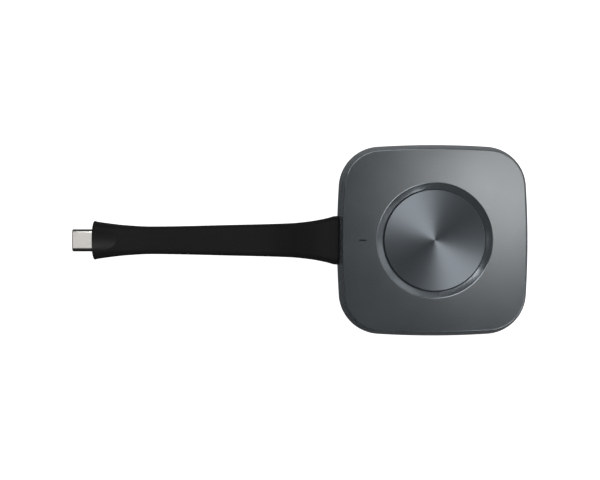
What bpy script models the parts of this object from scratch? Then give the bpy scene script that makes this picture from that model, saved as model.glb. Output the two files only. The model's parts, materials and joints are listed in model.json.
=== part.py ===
"""Wireless streaming puck: a square housing with a round push button and a short moulded USB-C lead.

Frame: the origin is under the middle of the housing, on the surface it stands on. +Z is up and the lead
leaves towards -X. Run with: blender --background --python part.py
"""

import math

import bmesh
import bpy
from mathutils import Vector

MM = 0.001
GAP = 0.3 * MM  # left between pieces that touch on the real object
FIT = 0.1 * MM  # the finer gap, inside the plug and around small pieces

# Housing plan: a square with bowed sides and arc corners
PUCK_HALF = 35.0 * MM
SIDE_BOW_RADIUS = 320.0 * MM
CORNER_CENTRE = 19.2 * MM
CORNER_RADIUS = SIDE_BOW_RADIUS - math.hypot(CORNER_CENTRE - PUCK_HALF + SIDE_BOW_RADIUS, CORNER_CENTRE)
SIDE_STEPS = 4
CORNER_STEPS = 8

# Housing heights and walls
BASE_Z = 0.5 * MM
SEAM_Z = 5.5 * MM
PUCK_HEIGHT = 15.0 * MM
EDGE_BEVEL = 0.3 * MM
WALL_LEAN = 1.9 * MM
BASE_INSET = 2.6 * MM
WALL = 1.8 * MM
FLOOR_TOP = 3.0 * MM
CEILING = PUCK_HEIGHT - WALL
LIP_HEIGHT = 1.1 * MM
LIP_OUTER_INSET = 0.9 * MM

# Foot pad and label under the housing
PAD_HALF = 25.0 * MM
PAD_HEIGHT = 1.2 * MM
LABEL_HALF = 15.0 * MM
LABEL_CORNER = 2.0 * MM
LABEL_THICK = 0.15 * MM
LABEL_RECESS = 0.5 * MM

# Button and its well
DISC_RADIUS = 18.2 * MM
DISC_BEVEL = 0.15 * MM
WELL_RADIUS = 18.5 * MM
CONE_RADIUS = 20.85 * MM
CONE_DEPTH = 0.9 * MM
COLLAR_RADIUS = 20.3 * MM
COLLAR_END_Z = 10.6 * MM
PLATE_TOP_Z = 15.1 * MM
PLATE_THICK = 0.8 * MM
CAP_TOP_Z = PLATE_TOP_Z - PLATE_THICK - GAP
CAP_ROOF = 1.5 * MM
CAP_INNER_RADIUS = 16.6 * MM
CAP_OUTER_RADIUS = 18.1 * MM
FLANGE_RADIUS = 20.6 * MM
FLANGE_LOW_Z = 9.1 * MM
FLANGE_HIGH_Z = 9.8 * MM
LUG_HALF_WIDTH = 1.5 * MM
LUG_Y = (19.6 * MM, 22.2 * MM)
RAIL_Y = (20.8 * MM, 23.2 * MM)
RAIL_WIDTH = 1.0 * MM
RAIL_LOW_Z = 8.4 * MM
PLUNGER_RADIUS = 2.4 * MM
PLUNGER_LOW_Z = 11.3 * MM
SPIGOT_RADIUS = 1.15 * MM
SPIGOT_LOW_Z = 11.2 * MM
DAMPER_RADII = (18.6 * MM, 20.2 * MM)
DAMPER_Z = (10.0 * MM, 10.4 * MM)
ROUND_STEPS = 48

# Return springs under the button
SPRING_CIRCLE = 12.0 * MM
SPRING_ANGLES = (90, 210, 330)
SPRING_RADIUS = 1.8 * MM
SPRING_WIRE = 0.25 * MM
SPRING_TURNS = 3.5
SPRING_LOW_Z = 8.6 * MM
SPRING_STEPS_PER_TURN = 10
CARRIER_RADII = (6.0 * MM, 15.5 * MM)
CARRIER_THICK = 0.7 * MM
CUP_RADII = (2.4 * MM, 2.9 * MM)
CUP_TOP_Z = 9.4 * MM

# Switch under the button's plunger
SWITCH_HALF = 3.1 * MM
SWITCH_TOP_Z = 10.2 * MM
SWITCH_WELL_RADIUS = 2.1 * MM
SWITCH_WELL_Z = 8.3 * MM
STEM_RADIUS = 1.8 * MM
STEM_Z = (9.2 * MM, 11.0 * MM)
STEM_BEVEL = 0.1 * MM
SWITCH_STEPS = 24

# Main board
BOARD_HALF = 27.0 * MM
BOARD_CORNER = 6.0 * MM
BOARD_LOW_Z = 6.3 * MM
BOARD_THICK = 1.0 * MM
BOARD_TOP_Z = BOARD_LOW_Z + BOARD_THICK
ON_BOARD_Z = BOARD_TOP_Z + GAP
UNDER_BOARD_Z = BOARD_LOW_Z - GAP

# Components: the places (x, y) and half sizes of those on the board, and their heights
PROCESSOR_PLACE = (2.0 * MM, -2.0 * MM)
PROCESSOR_HALF = (6.5 * MM, 6.5 * MM)
THERMAL_PAD_HALF = (6.0 * MM, 6.0 * MM)
THERMAL_PAD_Z = (4.2 * MM, 4.8 * MM)
MEMORY_PLACE = (-4.0 * MM, 12.0 * MM)
MEMORY_HALF = (4.5 * MM, 3.8 * MM)
CHIP_LOW_Z = 5.1 * MM
INDUCTOR_PLACE = (14.0 * MM, -14.0 * MM)
INDUCTOR_HALF = (2.5 * MM, 2.5 * MM)
TALL_LOW_Z = 4.2 * MM
SPREADER_PLACE = (2.5 * MM, 0.0)
SPREADER_HALF = (17.0 * MM, 15.5 * MM)
SPREADER_Z = (3.3 * MM, 3.9 * MM)
RADIO_PLACE = (12.5 * MM, 11.0 * MM)
RADIO_HALF = (3.5 * MM, 3.5 * MM)
RADIO_LOW_Z = 5.0 * MM
SHIELD_HALF = (6.0 * MM, 5.0 * MM)
SHEET_WALL = 0.2 * MM
ANTENNA_X = (-4.0 * MM, 14.0 * MM)
CONNECTOR_PLACE = (-24.2 * MM, 0.0)
CONNECTOR_HALF = (1.5 * MM, 4.5 * MM)
HEADER_PLACE = (-20.9 * MM, 0.0)
HEADER_HALF = (1.5 * MM, 4.9 * MM)
CONNECTOR_LOW_Z = 3.4 * MM

# Screws
POST_CENTRE = 20.5 * MM
POST_RADIUS = 2.6 * MM
BOSS_RADIUS = 3.4 * MM
BOSS_TOP_Z = 4.5 * MM
BOARD_BOSS_RADIUS = 2.2 * MM
SCREW_RADIUS = 1.0 * MM
SCREW_HOLE = 1.25 * MM
HEAD_RADIUS = 2.0 * MM
HEAD_HEIGHT = 1.0 * MM
HEAD_BEVEL = 0.3 * MM
HOUSING_SCREW_Z = (1.7 * MM, 9.2 * MM)
POST_HOLE_TOP_Z = 10.5 * MM
BOARD_SCREW_TIP_Z = 3.6 * MM
BOARD_SCREWS = ((24.2 * MM, -8.0 * MM), (-8.0 * MM, 24.2 * MM), (-8.0 * MM, -24.2 * MM))
SCREW_STEPS = 16

# Status light
SLIT_X = -25.9 * MM
SLIT_LENGTH = 2.6 * MM
SLIT_WIDTH = 0.4 * MM
LED_HALF = 0.8 * MM
LED_TOP_Z = 8.2 * MM
PIPE_HALF_Y = 0.7 * MM
PIPE_SECTIONS = ((0.9 * MM, 8.5 * MM), (1.6 * MM, 11.5 * MM), (1.6 * MM, CEILING - GAP))  # half length, z

# Lead: the route of its centreline as (x, z), from the connector in the housing to the end of the plug's grip
LEAD_ROUTE = (
    (-26.0 * MM, 4.70 * MM), (-28.0 * MM, 4.85 * MM), (-30.0 * MM, 5.45 * MM), (-33.0 * MM, 6.45 * MM),
    (-35.3 * MM, 6.70 * MM), (-41.0 * MM, 6.45 * MM), (-47.0 * MM, 5.30 * MM), (-53.0 * MM, 3.80 * MM),
    (-59.0 * MM, 2.72 * MM), (-66.0 * MM, 2.26 * MM), (-75.0 * MM, 2.20 * MM), (-85.0 * MM, 2.20 * MM),
    (-95.0 * MM, 2.20 * MM), (-104.0 * MM, 2.34 * MM), (-111.0 * MM, 2.78 * MM), (-118.0 * MM, 3.22 * MM),
    (-125.0 * MM, 3.30 * MM),
)
STRAP_WIDTH = (
    (-125.0 * MM, 14.4 * MM), (-124.0 * MM, 14.05 * MM), (-119.8 * MM, 12.8 * MM), (-112.8 * MM, 11.2 * MM),
    (-103.6 * MM, 10.25 * MM), (-74.0 * MM, 11.4 * MM), (-52.0 * MM, 12.6 * MM), (-44.7 * MM, 14.0 * MM),
    (-38.8 * MM, 16.2 * MM), (-35.3 * MM, 17.9 * MM),
)
STRAP_THICKNESS = (
    (-125.0 * MM, 6.5 * MM), (-118.0 * MM, 6.3 * MM), (-111.0 * MM, 5.3 * MM), (-104.0 * MM, 4.4 * MM),
    (-95.0 * MM, 4.2 * MM), (-60.0 * MM, 4.2 * MM), (-46.0 * MM, 4.8 * MM), (-35.3 * MM, 5.5 * MM),
)
STRAP_ROOT_X = -35.3 * MM
STRAP_END_X = -125.0 * MM
STRAP_END_BOW = 0.5 * MM
STRAP_END_BEVEL = 0.5 * MM
STRAP_STATION = 2.6 * MM
SECTION_CORNER = 0.42  # corner radius as a share of the thickness
SECTION_CORNER_STEPS = 4
CORE_RADIUS = 1.2 * MM
CHANNEL_RADIUS = 1.5 * MM
CORE_END_X = -114.6 * MM
CHANNEL_STEPS = 34

# Anchor block of the lead, inside the housing wall
ANCHOR_NECK_HALF = (6.0 * MM, 2.1 * MM)
ANCHOR_NECK_X = (-34.0 * MM, -32.0 * MM)
ANCHOR_FLANGE_HALF_Y = 8.5 * MM
ANCHOR_FLANGE_Z = (3.4 * MM, 9.9 * MM)
ANCHOR_FLANGE_X = (-32.2 * MM, -29.2 * MM)
ANCHOR_Z = 6.7 * MM
ANCHOR_RIB_X = (-28.9 * MM, -27.9 * MM)
ANCHOR_RIB_Y = (6.5 * MM, 9.0 * MM)
ANCHOR_RIB_LOW_Z = 8.3 * MM
ANCHOR_RIB_HIGH_Z = 6.6 * MM

# USB-C plug
PLUG_Z = 3.3 * MM
SHELL_NOSE_X = -132.4 * MM
SHELL_BACK_X = -121.0 * MM
SHELL_HALF = (4.125 * MM, 1.2 * MM)
SHELL_WALL = 0.2 * MM
CONTACTS_PER_ROW = 12
CONTACT_PITCH = 0.5 * MM
CONTACT_WIDTH = 0.25 * MM
CONTACT_BAR_X = (-126.6 * MM, -126.2 * MM)
CONTACT_BAR_HALF = 2.9 * MM
CONTACT_Z = (0.30 * MM, 0.45 * MM)  # from the plug's middle plane
LATCH_Y = (3.08 * MM, 3.28 * MM)
LATCH_HALF_Z = 0.22 * MM
CAVITY_HALF = (3.45 * MM, 0.55 * MM)
CAVITY_END_X = -125.8 * MM
NOSE_BEVEL = 0.2 * MM
NOSE_INNER_HALF = (3.8 * MM, 0.95 * MM)
CAN_X = (-122.7 * MM, -115.0 * MM)
CAN_HALF = (4.55 * MM, 1.6 * MM)
POCKET_X = (CAN_X[0] - GAP, CAN_X[1] + GAP)
POCKET_HALF = (CAN_HALF[0] + GAP, CAN_HALF[1] + GAP)
PLUG_BOARD_X = (-120.6 * MM, -115.6 * MM)
PLUG_BOARD_HALF = (3.8 * MM, 0.3 * MM)

# Hollow for the thumb on top of the grip: an ellipsoid sunk into it beside the grip's end
SCOOP_CENTRE = (-127.5 * MM, 7.15 * MM)
SCOOP_HALF = (16.9 * MM, 4.55 * MM, 1.25 * MM)
SCOOP_SEGMENTS = (22, 13)

# Corner radii of small pieces
SMALL_CORNER = 0.2 * MM
CHIP_CORNER = 0.3 * MM
SHEET_CORNER = 0.5 * MM
POCKET_CORNER = 0.6 * MM

# Heights at which the walls' curve has points
TOP_WALL_LEVELS = (12.6 * MM, 10.4 * MM, 8.0 * MM)
INNER_LEVEL = 10.0 * MM
BASE_WALL_LEVELS = (1.4 * MM, 2.6 * MM, 3.9 * MM)

# How far a joined or cut shape runs into or past its neighbour
OVERLAP = 0.5 * MM
CLEAR = 1.0 * MM

# Colours
PAINT_GREY = (0.16, 0.17, 0.18)
BASE_GREY = (0.05, 0.052, 0.055)
RUBBER_BLACK = (0.02, 0.02, 0.021)
LABEL_GREY = (0.32, 0.33, 0.34)
DISC_METAL = (0.33, 0.35, 0.37)
PLASTIC_BLACK = (0.03, 0.03, 0.032)
SILICONE_GREY = (0.12, 0.12, 0.12)
BRIGHT_METAL = (0.7, 0.7, 0.7)
SPRING_METAL = (0.6, 0.6, 0.6)
NYLON_BLACK = (0.04, 0.04, 0.045)
ACETAL_WHITE = (0.75, 0.75, 0.72)
BOARD_GREEN = (0.02, 0.12, 0.06)
CHIP_BLACK = (0.03, 0.03, 0.03)
FERRITE_GREY = (0.12, 0.12, 0.12)
PAD_BLUE = (0.45, 0.5, 0.6)
LENS_WHITE = (0.9, 0.9, 0.85)
SMOKED_CLEAR = (0.03, 0.03, 0.032)
NYLON_CREAM = (0.8, 0.78, 0.72)
BLACK_ZINC = (0.25, 0.25, 0.26)
STRAP_BLACK = (0.012, 0.012, 0.013)
NICKEL = (0.72, 0.7, 0.68)
GOLD = (0.83, 0.62, 0.25)


# --- Scene and materials -------------------------------------------------------------------------------


def clear_scene():
    for obj in list(bpy.data.objects):
        bpy.data.objects.remove(obj)


def make_material(name, colour, roughness, metallic=0.0):
    material = bpy.data.materials.new(name)
    material.use_nodes = True
    shader = material.node_tree.nodes["Principled BSDF"]
    shader.inputs["Base Color"].default_value = (*colour, 1.0)
    shader.inputs["Roughness"].default_value = roughness
    shader.inputs["Metallic"].default_value = metallic
    material.diffuse_color = (*colour, 1.0)
    return material


def make_object(name, mesh, colour, roughness, metallic=0.0, origin=(0, 0, 0)):
    """Turns a bmesh, drawn in world coordinates, into an object whose origin is at the given point."""
    bmesh.ops.recalc_face_normals(mesh, faces=mesh.faces)
    bmesh.ops.translate(mesh, verts=mesh.verts, vec=-Vector(origin))
    data = bpy.data.meshes.new(name)
    mesh.to_mesh(data)
    mesh.free()
    data.shade_smooth()
    data.set_sharp_from_angle(angle=math.radians(35))
    obj = bpy.data.objects.new(name, data)
    obj.location = origin
    obj.data.materials.append(make_material(name, colour, roughness, metallic))
    bpy.context.scene.collection.objects.link(obj)
    return obj


def combine(obj, operation, mesh):
    """Adds a Boolean to obj with the bmesh as its hidden operand."""
    bmesh.ops.recalc_face_normals(mesh, faces=mesh.faces)
    data = bpy.data.meshes.new(f"{obj.name}_{operation.lower()}")
    mesh.to_mesh(data)
    mesh.free()
    helper = bpy.data.objects.new(data.name, data)
    helper.hide_render = True
    helper.display_type = "WIRE"
    bpy.context.scene.collection.objects.link(helper)
    modifier = obj.modifiers.new(operation.title(), "BOOLEAN")
    modifier.operation = operation
    modifier.object = helper
    modifier.solver = "EXACT"


def parent_on_axis(name, children):
    """An empty on the button's axis, which carries the pieces that travel together."""
    carrier = bpy.data.objects.new(name, None)
    bpy.context.scene.collection.objects.link(carrier)
    for child in children:
        child.parent = carrier


# --- Drawing tools -------------------------------------------------------------------------------------


def add_loft(mesh, rings, join_ends=False):
    """Skins rings of equal length. The ends are capped, or joined to each other to leave a hole."""
    loops = [[mesh.verts.new(point) for point in ring] for ring in rings]
    pairs = list(zip(loops, loops[1:]))
    if join_ends:
        pairs.append((loops[-1], loops[0]))
    else:
        mesh.faces.new(loops[0][::-1])
        mesh.faces.new(loops[-1])
    for first, second in pairs:
        for i, corner in enumerate(first):
            j = (i + 1) % len(first)
            mesh.faces.new((corner, first[j], second[j], second[i]))


def at_height(outline, z, centre=(0, 0)):
    return [(x + centre[0], y + centre[1], z) for x, y in outline]


def add_prism(mesh, outline, low_z, high_z, centre=(0, 0)):
    base = mesh.faces.new([mesh.verts.new(point) for point in at_height(outline, low_z, centre)])
    raised = bmesh.ops.extrude_face_region(mesh, geom=[base])["geom"]
    moved = [item for item in raised if isinstance(item, bmesh.types.BMVert)]
    bmesh.ops.translate(mesh, verts=moved, vec=(0, 0, high_z - low_z))


def add_box(mesh, low, high):
    outline = [(low[0], low[1]), (high[0], low[1]), (high[0], high[1]), (low[0], high[1])]
    add_prism(mesh, outline, low[2], high[2])


def circle(radius, steps=ROUND_STEPS):
    turns = [2 * math.pi * i / steps for i in range(steps)]
    return [(radius * math.cos(turn), radius * math.sin(turn)) for turn in turns]


def add_turned(mesh, profile, steps=ROUND_STEPS, centre=(0, 0), join_ends=False):
    """Turns a profile of (radius, z) points about the vertical through centre."""
    add_loft(mesh, [at_height(circle(radius, steps), z, centre) for radius, z in profile], join_ends)


def rounded_rectangle(half_x, half_y, radius, steps=4):
    points = []
    for quarter, (side_x, side_y) in enumerate(((1, 1), (-1, 1), (-1, -1), (1, -1))):
        for i in range(steps + 1):
            turn = math.pi / 2 * (quarter + i / steps)
            x = side_x * (half_x - radius) + radius * math.cos(turn)
            y = side_y * (half_y - radius) + radius * math.sin(turn)
            points.append((x, y))
    return points


def puck_outline(inset):
    """The housing's plan, moved inwards by inset: bowed sides joined by tangent corner arcs."""
    bow_centre = PUCK_HALF - SIDE_BOW_RADIUS
    bow_end = math.atan2(CORNER_CENTRE, CORNER_CENTRE - bow_centre)
    corner_turn = math.pi / 2 - 2 * bow_end
    points = []
    for quarter in range(4):
        side = []
        for i in range(SIDE_STEPS + 1):
            turn = bow_end * (2 * i / SIDE_STEPS - 1)
            reach = SIDE_BOW_RADIUS - inset
            side.append((bow_centre + reach * math.cos(turn), reach * math.sin(turn)))
        for i in range(1, CORNER_STEPS):
            turn = bow_end + corner_turn * i / CORNER_STEPS
            reach = CORNER_RADIUS - inset
            side.append((CORNER_CENTRE + reach * math.cos(turn), CORNER_CENTRE + reach * math.sin(turn)))
        c, s = ((1, 0), (0, 1), (-1, 0), (0, -1))[quarter]
        points += [(c * x - s * y, s * x + c * y) for x, y in side]
    return points


def wall_inset(z):
    """How far the outer wall stands in from its widest line, the seam, above and below it."""
    if z < SEAM_Z:
        drop = (SEAM_Z - z) / (SEAM_Z - BASE_Z)
        return BASE_INSET * drop**2
    rise = (z - SEAM_Z) / (PUCK_HEIGHT - EDGE_BEVEL - SEAM_Z)
    return WALL_LEAN * (0.8 * rise + 0.2 * rise**2)


def wall_x(y, z):
    """X of the housing's outer wall on the lead's side."""
    reach = SIDE_BOW_RADIUS - wall_inset(z)
    return SIDE_BOW_RADIUS - PUCK_HALF - math.sqrt(reach**2 - y**2)


def smooth_value(points, x):
    """Value at x of a smooth curve through (x, value) points that never overshoots them."""
    points = sorted(points)
    xs = [point[0] for point in points]
    values = [point[1] for point in points]
    slopes = [(values[i + 1] - values[i]) / (xs[i + 1] - xs[i]) for i in range(len(xs) - 1)]
    tangents = [0.0]
    for before, after in zip(slopes, slopes[1:]):
        tangents.append(2 * before * after / (before + after) if before * after > 0 else 0.0)
    tangents.append(0.0)
    i = max(0, min(len(xs) - 2, sum(value <= x for value in xs) - 1))
    step = xs[i + 1] - xs[i]
    t = min(max((x - xs[i]) / step, 0.0), 1.0)
    return (
        (2 * t**3 - 3 * t**2 + 1) * values[i]
        + (t**3 - 2 * t**2 + t) * step * tangents[i]
        + (3 * t**2 - 2 * t**3) * values[i + 1]
        + (t**3 - t**2) * step * tangents[i + 1]
    )


def lead_frame(x):
    """Centre of the lead at x and the direction across its flat side there."""
    reach = 0.5 * MM
    ahead = smooth_value(LEAD_ROUTE, x - reach)
    behind = smooth_value(LEAD_ROUTE, x + reach)
    normal = Vector((ahead - behind, 0, 2 * reach)).normalized()
    return Vector((x, 0, smooth_value(LEAD_ROUTE, x))), normal


def section_ring(x, outline):
    """A ring across the lead at x. The outline's first coordinate runs along Y."""
    centre, normal = lead_frame(x)
    return [centre + Vector((0, across, 0)) + normal * height for across, height in outline]


def upright_ring(x, outline, z):
    return [(x, across, z + height) for across, height in outline]


# --- Housing -------------------------------------------------------------------------------------------


def post_places():
    return [(sx * POST_CENTRE, sy * POST_CENTRE) for sx, sy in ((1, 1), (-1, 1), (-1, -1), (1, -1))]


def add_cable_opening(mesh):
    half_y = ANCHOR_NECK_HALF[0] + GAP
    half_z = ANCHOR_NECK_HALF[1] + GAP
    low = (-PUCK_HALF - CLEAR, -half_y, ANCHOR_Z - half_z)
    add_box(mesh, low, (ANCHOR_FLANGE_X[0] + FIT, half_y, ANCHOR_Z + half_z))


def mirrored(pair, side):
    """The pair of distances, measured to the given side (1 or -1) and put in rising order."""
    return sorted(side * value for value in pair)


def add_anchor_rib(mesh, side_y, low_z, high_z):
    ys = mirrored(ANCHOR_RIB_Y, side_y)
    add_box(mesh, (ANCHOR_RIB_X[0], ys[0], low_z), (ANCHOR_RIB_X[1], ys[1], high_z))


def make_top_cover():
    rim_z = SEAM_Z + GAP / 2
    rabbet_z = SEAM_Z + LIP_HEIGHT + GAP
    levels = [PUCK_HEIGHT - EDGE_BEVEL, *TOP_WALL_LEVELS, rim_z]
    rings = [at_height(puck_outline(WALL_LEAN + EDGE_BEVEL), PUCK_HEIGHT)]
    rings += [at_height(puck_outline(wall_inset(z)), z) for z in levels]
    rings.append(at_height(puck_outline(LIP_OUTER_INSET - GAP), rim_z))
    rings.append(at_height(puck_outline(LIP_OUTER_INSET - GAP), rabbet_z))
    rings += [at_height(puck_outline(WALL + wall_inset(z)), z) for z in (rabbet_z, INNER_LEVEL, CEILING)]
    mesh = bmesh.new()
    add_loft(mesh, rings)
    cover = make_object("top_cover", mesh, PAINT_GREY, 0.42, 0.6)

    added = bmesh.new()
    into_roof = CEILING + OVERLAP
    add_turned(added, [(COLLAR_RADIUS, COLLAR_END_Z), (COLLAR_RADIUS, into_roof)])
    for place in post_places():
        add_turned(added, [(POST_RADIUS, BOSS_TOP_Z + GAP), (POST_RADIUS, into_roof)], SCREW_STEPS, place)
    rail_x = LUG_HALF_WIDTH + GAP
    for side_y in (-1, 1):
        ys = mirrored(RAIL_Y, side_y)
        for side_x in (-1, 1):
            xs = mirrored((rail_x, rail_x + RAIL_WIDTH), side_x)
            add_box(added, (xs[0], ys[0], RAIL_LOW_Z), (xs[1], ys[1], into_roof))
        add_anchor_rib(added, side_y, ANCHOR_RIB_LOW_Z, into_roof)
    combine(cover, "UNION", added)

    cut = bmesh.new()
    cone_z = PUCK_HEIGHT - CONE_DEPTH
    spread = (CONE_RADIUS - WELL_RADIUS) / CONE_DEPTH
    well = [
        (WELL_RADIUS, COLLAR_END_Z - CLEAR),
        (WELL_RADIUS, cone_z),
        (CONE_RADIUS + spread * OVERLAP, PUCK_HEIGHT + OVERLAP),
    ]
    add_turned(cut, well)
    for place in post_places():
        add_turned(cut, [(SCREW_HOLE, BOSS_TOP_Z), (SCREW_HOLE, POST_HOLE_TOP_Z)], SCREW_STEPS, place)
    slit = rounded_rectangle(SLIT_LENGTH / 2, SLIT_WIDTH / 2, 0.48 * SLIT_WIDTH, 2)
    add_prism(cut, slit, CEILING - CLEAR, PUCK_HEIGHT + CLEAR, (SLIT_X, 0))
    add_cable_opening(cut)
    combine(cover, "DIFFERENCE", cut)


def make_bottom_cover():
    rim_z = SEAM_Z - GAP / 2
    lip_z = SEAM_Z + LIP_HEIGHT
    levels = [BASE_Z, *BASE_WALL_LEVELS, rim_z]
    rings = [at_height(puck_outline(wall_inset(z)), z) for z in levels]
    rings.append(at_height(puck_outline(LIP_OUTER_INSET), rim_z))
    rings.append(at_height(puck_outline(LIP_OUTER_INSET), lip_z))
    rings.append(at_height(puck_outline(WALL), lip_z))
    rings.append(at_height(puck_outline(WALL), rim_z))
    rings.append(at_height(puck_outline(WALL + wall_inset(FLOOR_TOP)), FLOOR_TOP))
    mesh = bmesh.new()
    add_loft(mesh, rings)
    cover = make_object("bottom_cover", mesh, BASE_GREY, 0.5, 0.3)

    added = bmesh.new()
    into_floor = FLOOR_TOP - OVERLAP
    for place in post_places():
        add_turned(added, [(BOSS_RADIUS, into_floor), (BOSS_RADIUS, BOSS_TOP_Z)], SCREW_STEPS, place)
    for place in BOARD_SCREWS:
        boss = [(BOARD_BOSS_RADIUS, into_floor), (BOARD_BOSS_RADIUS, UNDER_BOARD_Z)]
        add_turned(added, boss, SCREW_STEPS, place)
    for side_y in (-1, 1):
        add_anchor_rib(added, side_y, into_floor, ANCHOR_RIB_HIGH_Z)
    combine(cover, "UNION", added)

    cut = bmesh.new()
    recess = puck_outline(PUCK_HALF - PAD_HALF - GAP)
    recess_z = PAD_HEIGHT + GAP
    add_prism(cut, recess, BASE_Z - CLEAR, recess_z)
    add_cable_opening(cut)
    for place in BOARD_SCREWS:
        add_turned(cut, [(SCREW_HOLE, FLOOR_TOP), (SCREW_HOLE, BOARD_TOP_Z)], SCREW_STEPS, place)
    combine(cover, "DIFFERENCE", cut)

    bored = bmesh.new()
    head_hole = HEAD_RADIUS + GAP
    for place in post_places():
        profile = [
            (head_hole, recess_z - OVERLAP),
            (head_hole, FLOOR_TOP),
            (SCREW_HOLE, FLOOR_TOP),
            (SCREW_HOLE, BOSS_TOP_Z + CLEAR),
        ]
        add_turned(bored, profile, SCREW_STEPS, place)
    combine(cover, "DIFFERENCE", bored)


def make_foot_pad_and_label():
    chamfer = 0.2 * MM
    mesh = bmesh.new()
    outer = puck_outline(PUCK_HALF - PAD_HALF)
    chamfered = puck_outline(PUCK_HALF - PAD_HALF + chamfer)
    add_loft(mesh, [at_height(chamfered, 0), at_height(outer, chamfer), at_height(outer, PAD_HEIGHT)])
    pad = make_object("foot_pad", mesh, RUBBER_BLACK, 0.85)
    cut = bmesh.new()
    recess = rounded_rectangle(LABEL_HALF + GAP, LABEL_HALF + GAP, LABEL_CORNER + GAP)
    add_prism(cut, recess, -CLEAR, LABEL_RECESS)
    combine(pad, "DIFFERENCE", cut)

    mesh = bmesh.new()
    label_z = LABEL_RECESS - GAP
    add_prism(mesh, rounded_rectangle(LABEL_HALF, LABEL_HALF, LABEL_CORNER), label_z - LABEL_THICK, label_z)
    make_object("rating_label", mesh, LABEL_GREY, 0.45)


# --- Button --------------------------------------------------------------------------------------------


def spring_places():
    turns = [math.radians(angle) for angle in SPRING_ANGLES]
    return [(SPRING_CIRCLE * math.cos(turn), SPRING_CIRCLE * math.sin(turn)) for turn in turns]


def make_button():
    low_z = PLATE_TOP_Z - PLATE_THICK
    mesh = bmesh.new()
    edge = [
        (DISC_RADIUS, low_z),
        (DISC_RADIUS, PLATE_TOP_Z - DISC_BEVEL),
        (DISC_RADIUS - DISC_BEVEL, PLATE_TOP_Z),
    ]
    add_turned(mesh, edge)
    plate = make_object("button_plate", mesh, DISC_METAL, 0.28, 1.0)

    roof_z = CAP_TOP_Z - CAP_ROOF
    mesh = bmesh.new()
    cup = [
        (CAP_OUTER_RADIUS, CAP_TOP_Z),
        (CAP_OUTER_RADIUS, FLANGE_HIGH_Z),
        (FLANGE_RADIUS, FLANGE_HIGH_Z),
        (FLANGE_RADIUS, FLANGE_LOW_Z),
        (CAP_INNER_RADIUS, FLANGE_LOW_Z),
        (CAP_INNER_RADIUS, roof_z),
    ]
    add_turned(mesh, cup)
    cap = make_object("button_cap", mesh, PLASTIC_BLACK, 0.5)
    added = bmesh.new()
    into_roof = roof_z + OVERLAP
    add_turned(added, [(PLUNGER_RADIUS, PLUNGER_LOW_Z), (PLUNGER_RADIUS, into_roof)], SCREW_STEPS)
    for place in spring_places():
        add_turned(added, [(SPIGOT_RADIUS, SPIGOT_LOW_Z), (SPIGOT_RADIUS, into_roof)], SCREW_STEPS, place)
    for side_y in (-1, 1):
        ys = mirrored(LUG_Y, side_y)
        low = (-LUG_HALF_WIDTH, ys[0], FLANGE_LOW_Z + FIT)
        add_box(added, low, (LUG_HALF_WIDTH, ys[1], FLANGE_HIGH_Z - FIT))
    combine(cap, "UNION", added)

    mesh = bmesh.new()
    section = [(DAMPER_RADII[1], DAMPER_Z[0]), (DAMPER_RADII[1], DAMPER_Z[1])]
    section += [(DAMPER_RADII[0], DAMPER_Z[1]), (DAMPER_RADII[0], DAMPER_Z[0])]
    add_turned(mesh, section, join_ends=True)
    ring = make_object("damping_ring", mesh, SILICONE_GREY, 0.8)
    parent_on_axis("button_axis", [plate, cap, ring])


def make_springs():
    top_z = CAP_TOP_Z - CAP_ROOF - GAP
    height = top_z - SPRING_LOW_Z - 2 * SPRING_WIRE
    for number, (x, y) in enumerate(spring_places(), 1):
        name = f"return_spring_{number}"
        curve = bpy.data.curves.new(name, "CURVE")
        curve.dimensions = "3D"
        curve.bevel_depth = SPRING_WIRE
        curve.bevel_resolution = 1
        curve.use_fill_caps = True
        steps = round(SPRING_TURNS * SPRING_STEPS_PER_TURN)
        spline = curve.splines.new("POLY")
        spline.points.add(steps)
        for i, point in enumerate(spline.points):
            turn = 2 * math.pi * i / SPRING_STEPS_PER_TURN
            z = SPRING_WIRE + height * i / steps
            point.co = (SPRING_RADIUS * math.cos(turn), SPRING_RADIUS * math.sin(turn), z, 1)
        spring = bpy.data.objects.new(name, curve)
        spring.location = (x, y, SPRING_LOW_Z)
        curve.materials.append(make_material(name, SPRING_METAL, 0.3, 1.0))
        bpy.context.scene.collection.objects.link(spring)


def make_spring_carrier():
    """A flat ring on the board with a cup for each spring."""
    inner, outer = CARRIER_RADII
    plate_z = ON_BOARD_Z + CARRIER_THICK
    section = [(outer, ON_BOARD_Z), (outer, plate_z), (inner, plate_z), (inner, ON_BOARD_Z)]
    mesh = bmesh.new()
    add_turned(mesh, section, join_ends=True)
    carrier = make_object("spring_carrier", mesh, NYLON_BLACK, 0.55)
    inner, outer = CUP_RADII
    low_z = plate_z - CARRIER_THICK / 2
    wall = [(outer, low_z), (outer, CUP_TOP_Z), (inner, CUP_TOP_Z), (inner, low_z)]
    cups = bmesh.new()
    for place in spring_places():
        add_turned(cups, wall, SCREW_STEPS, place, join_ends=True)
    combine(carrier, "UNION", cups)


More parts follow.
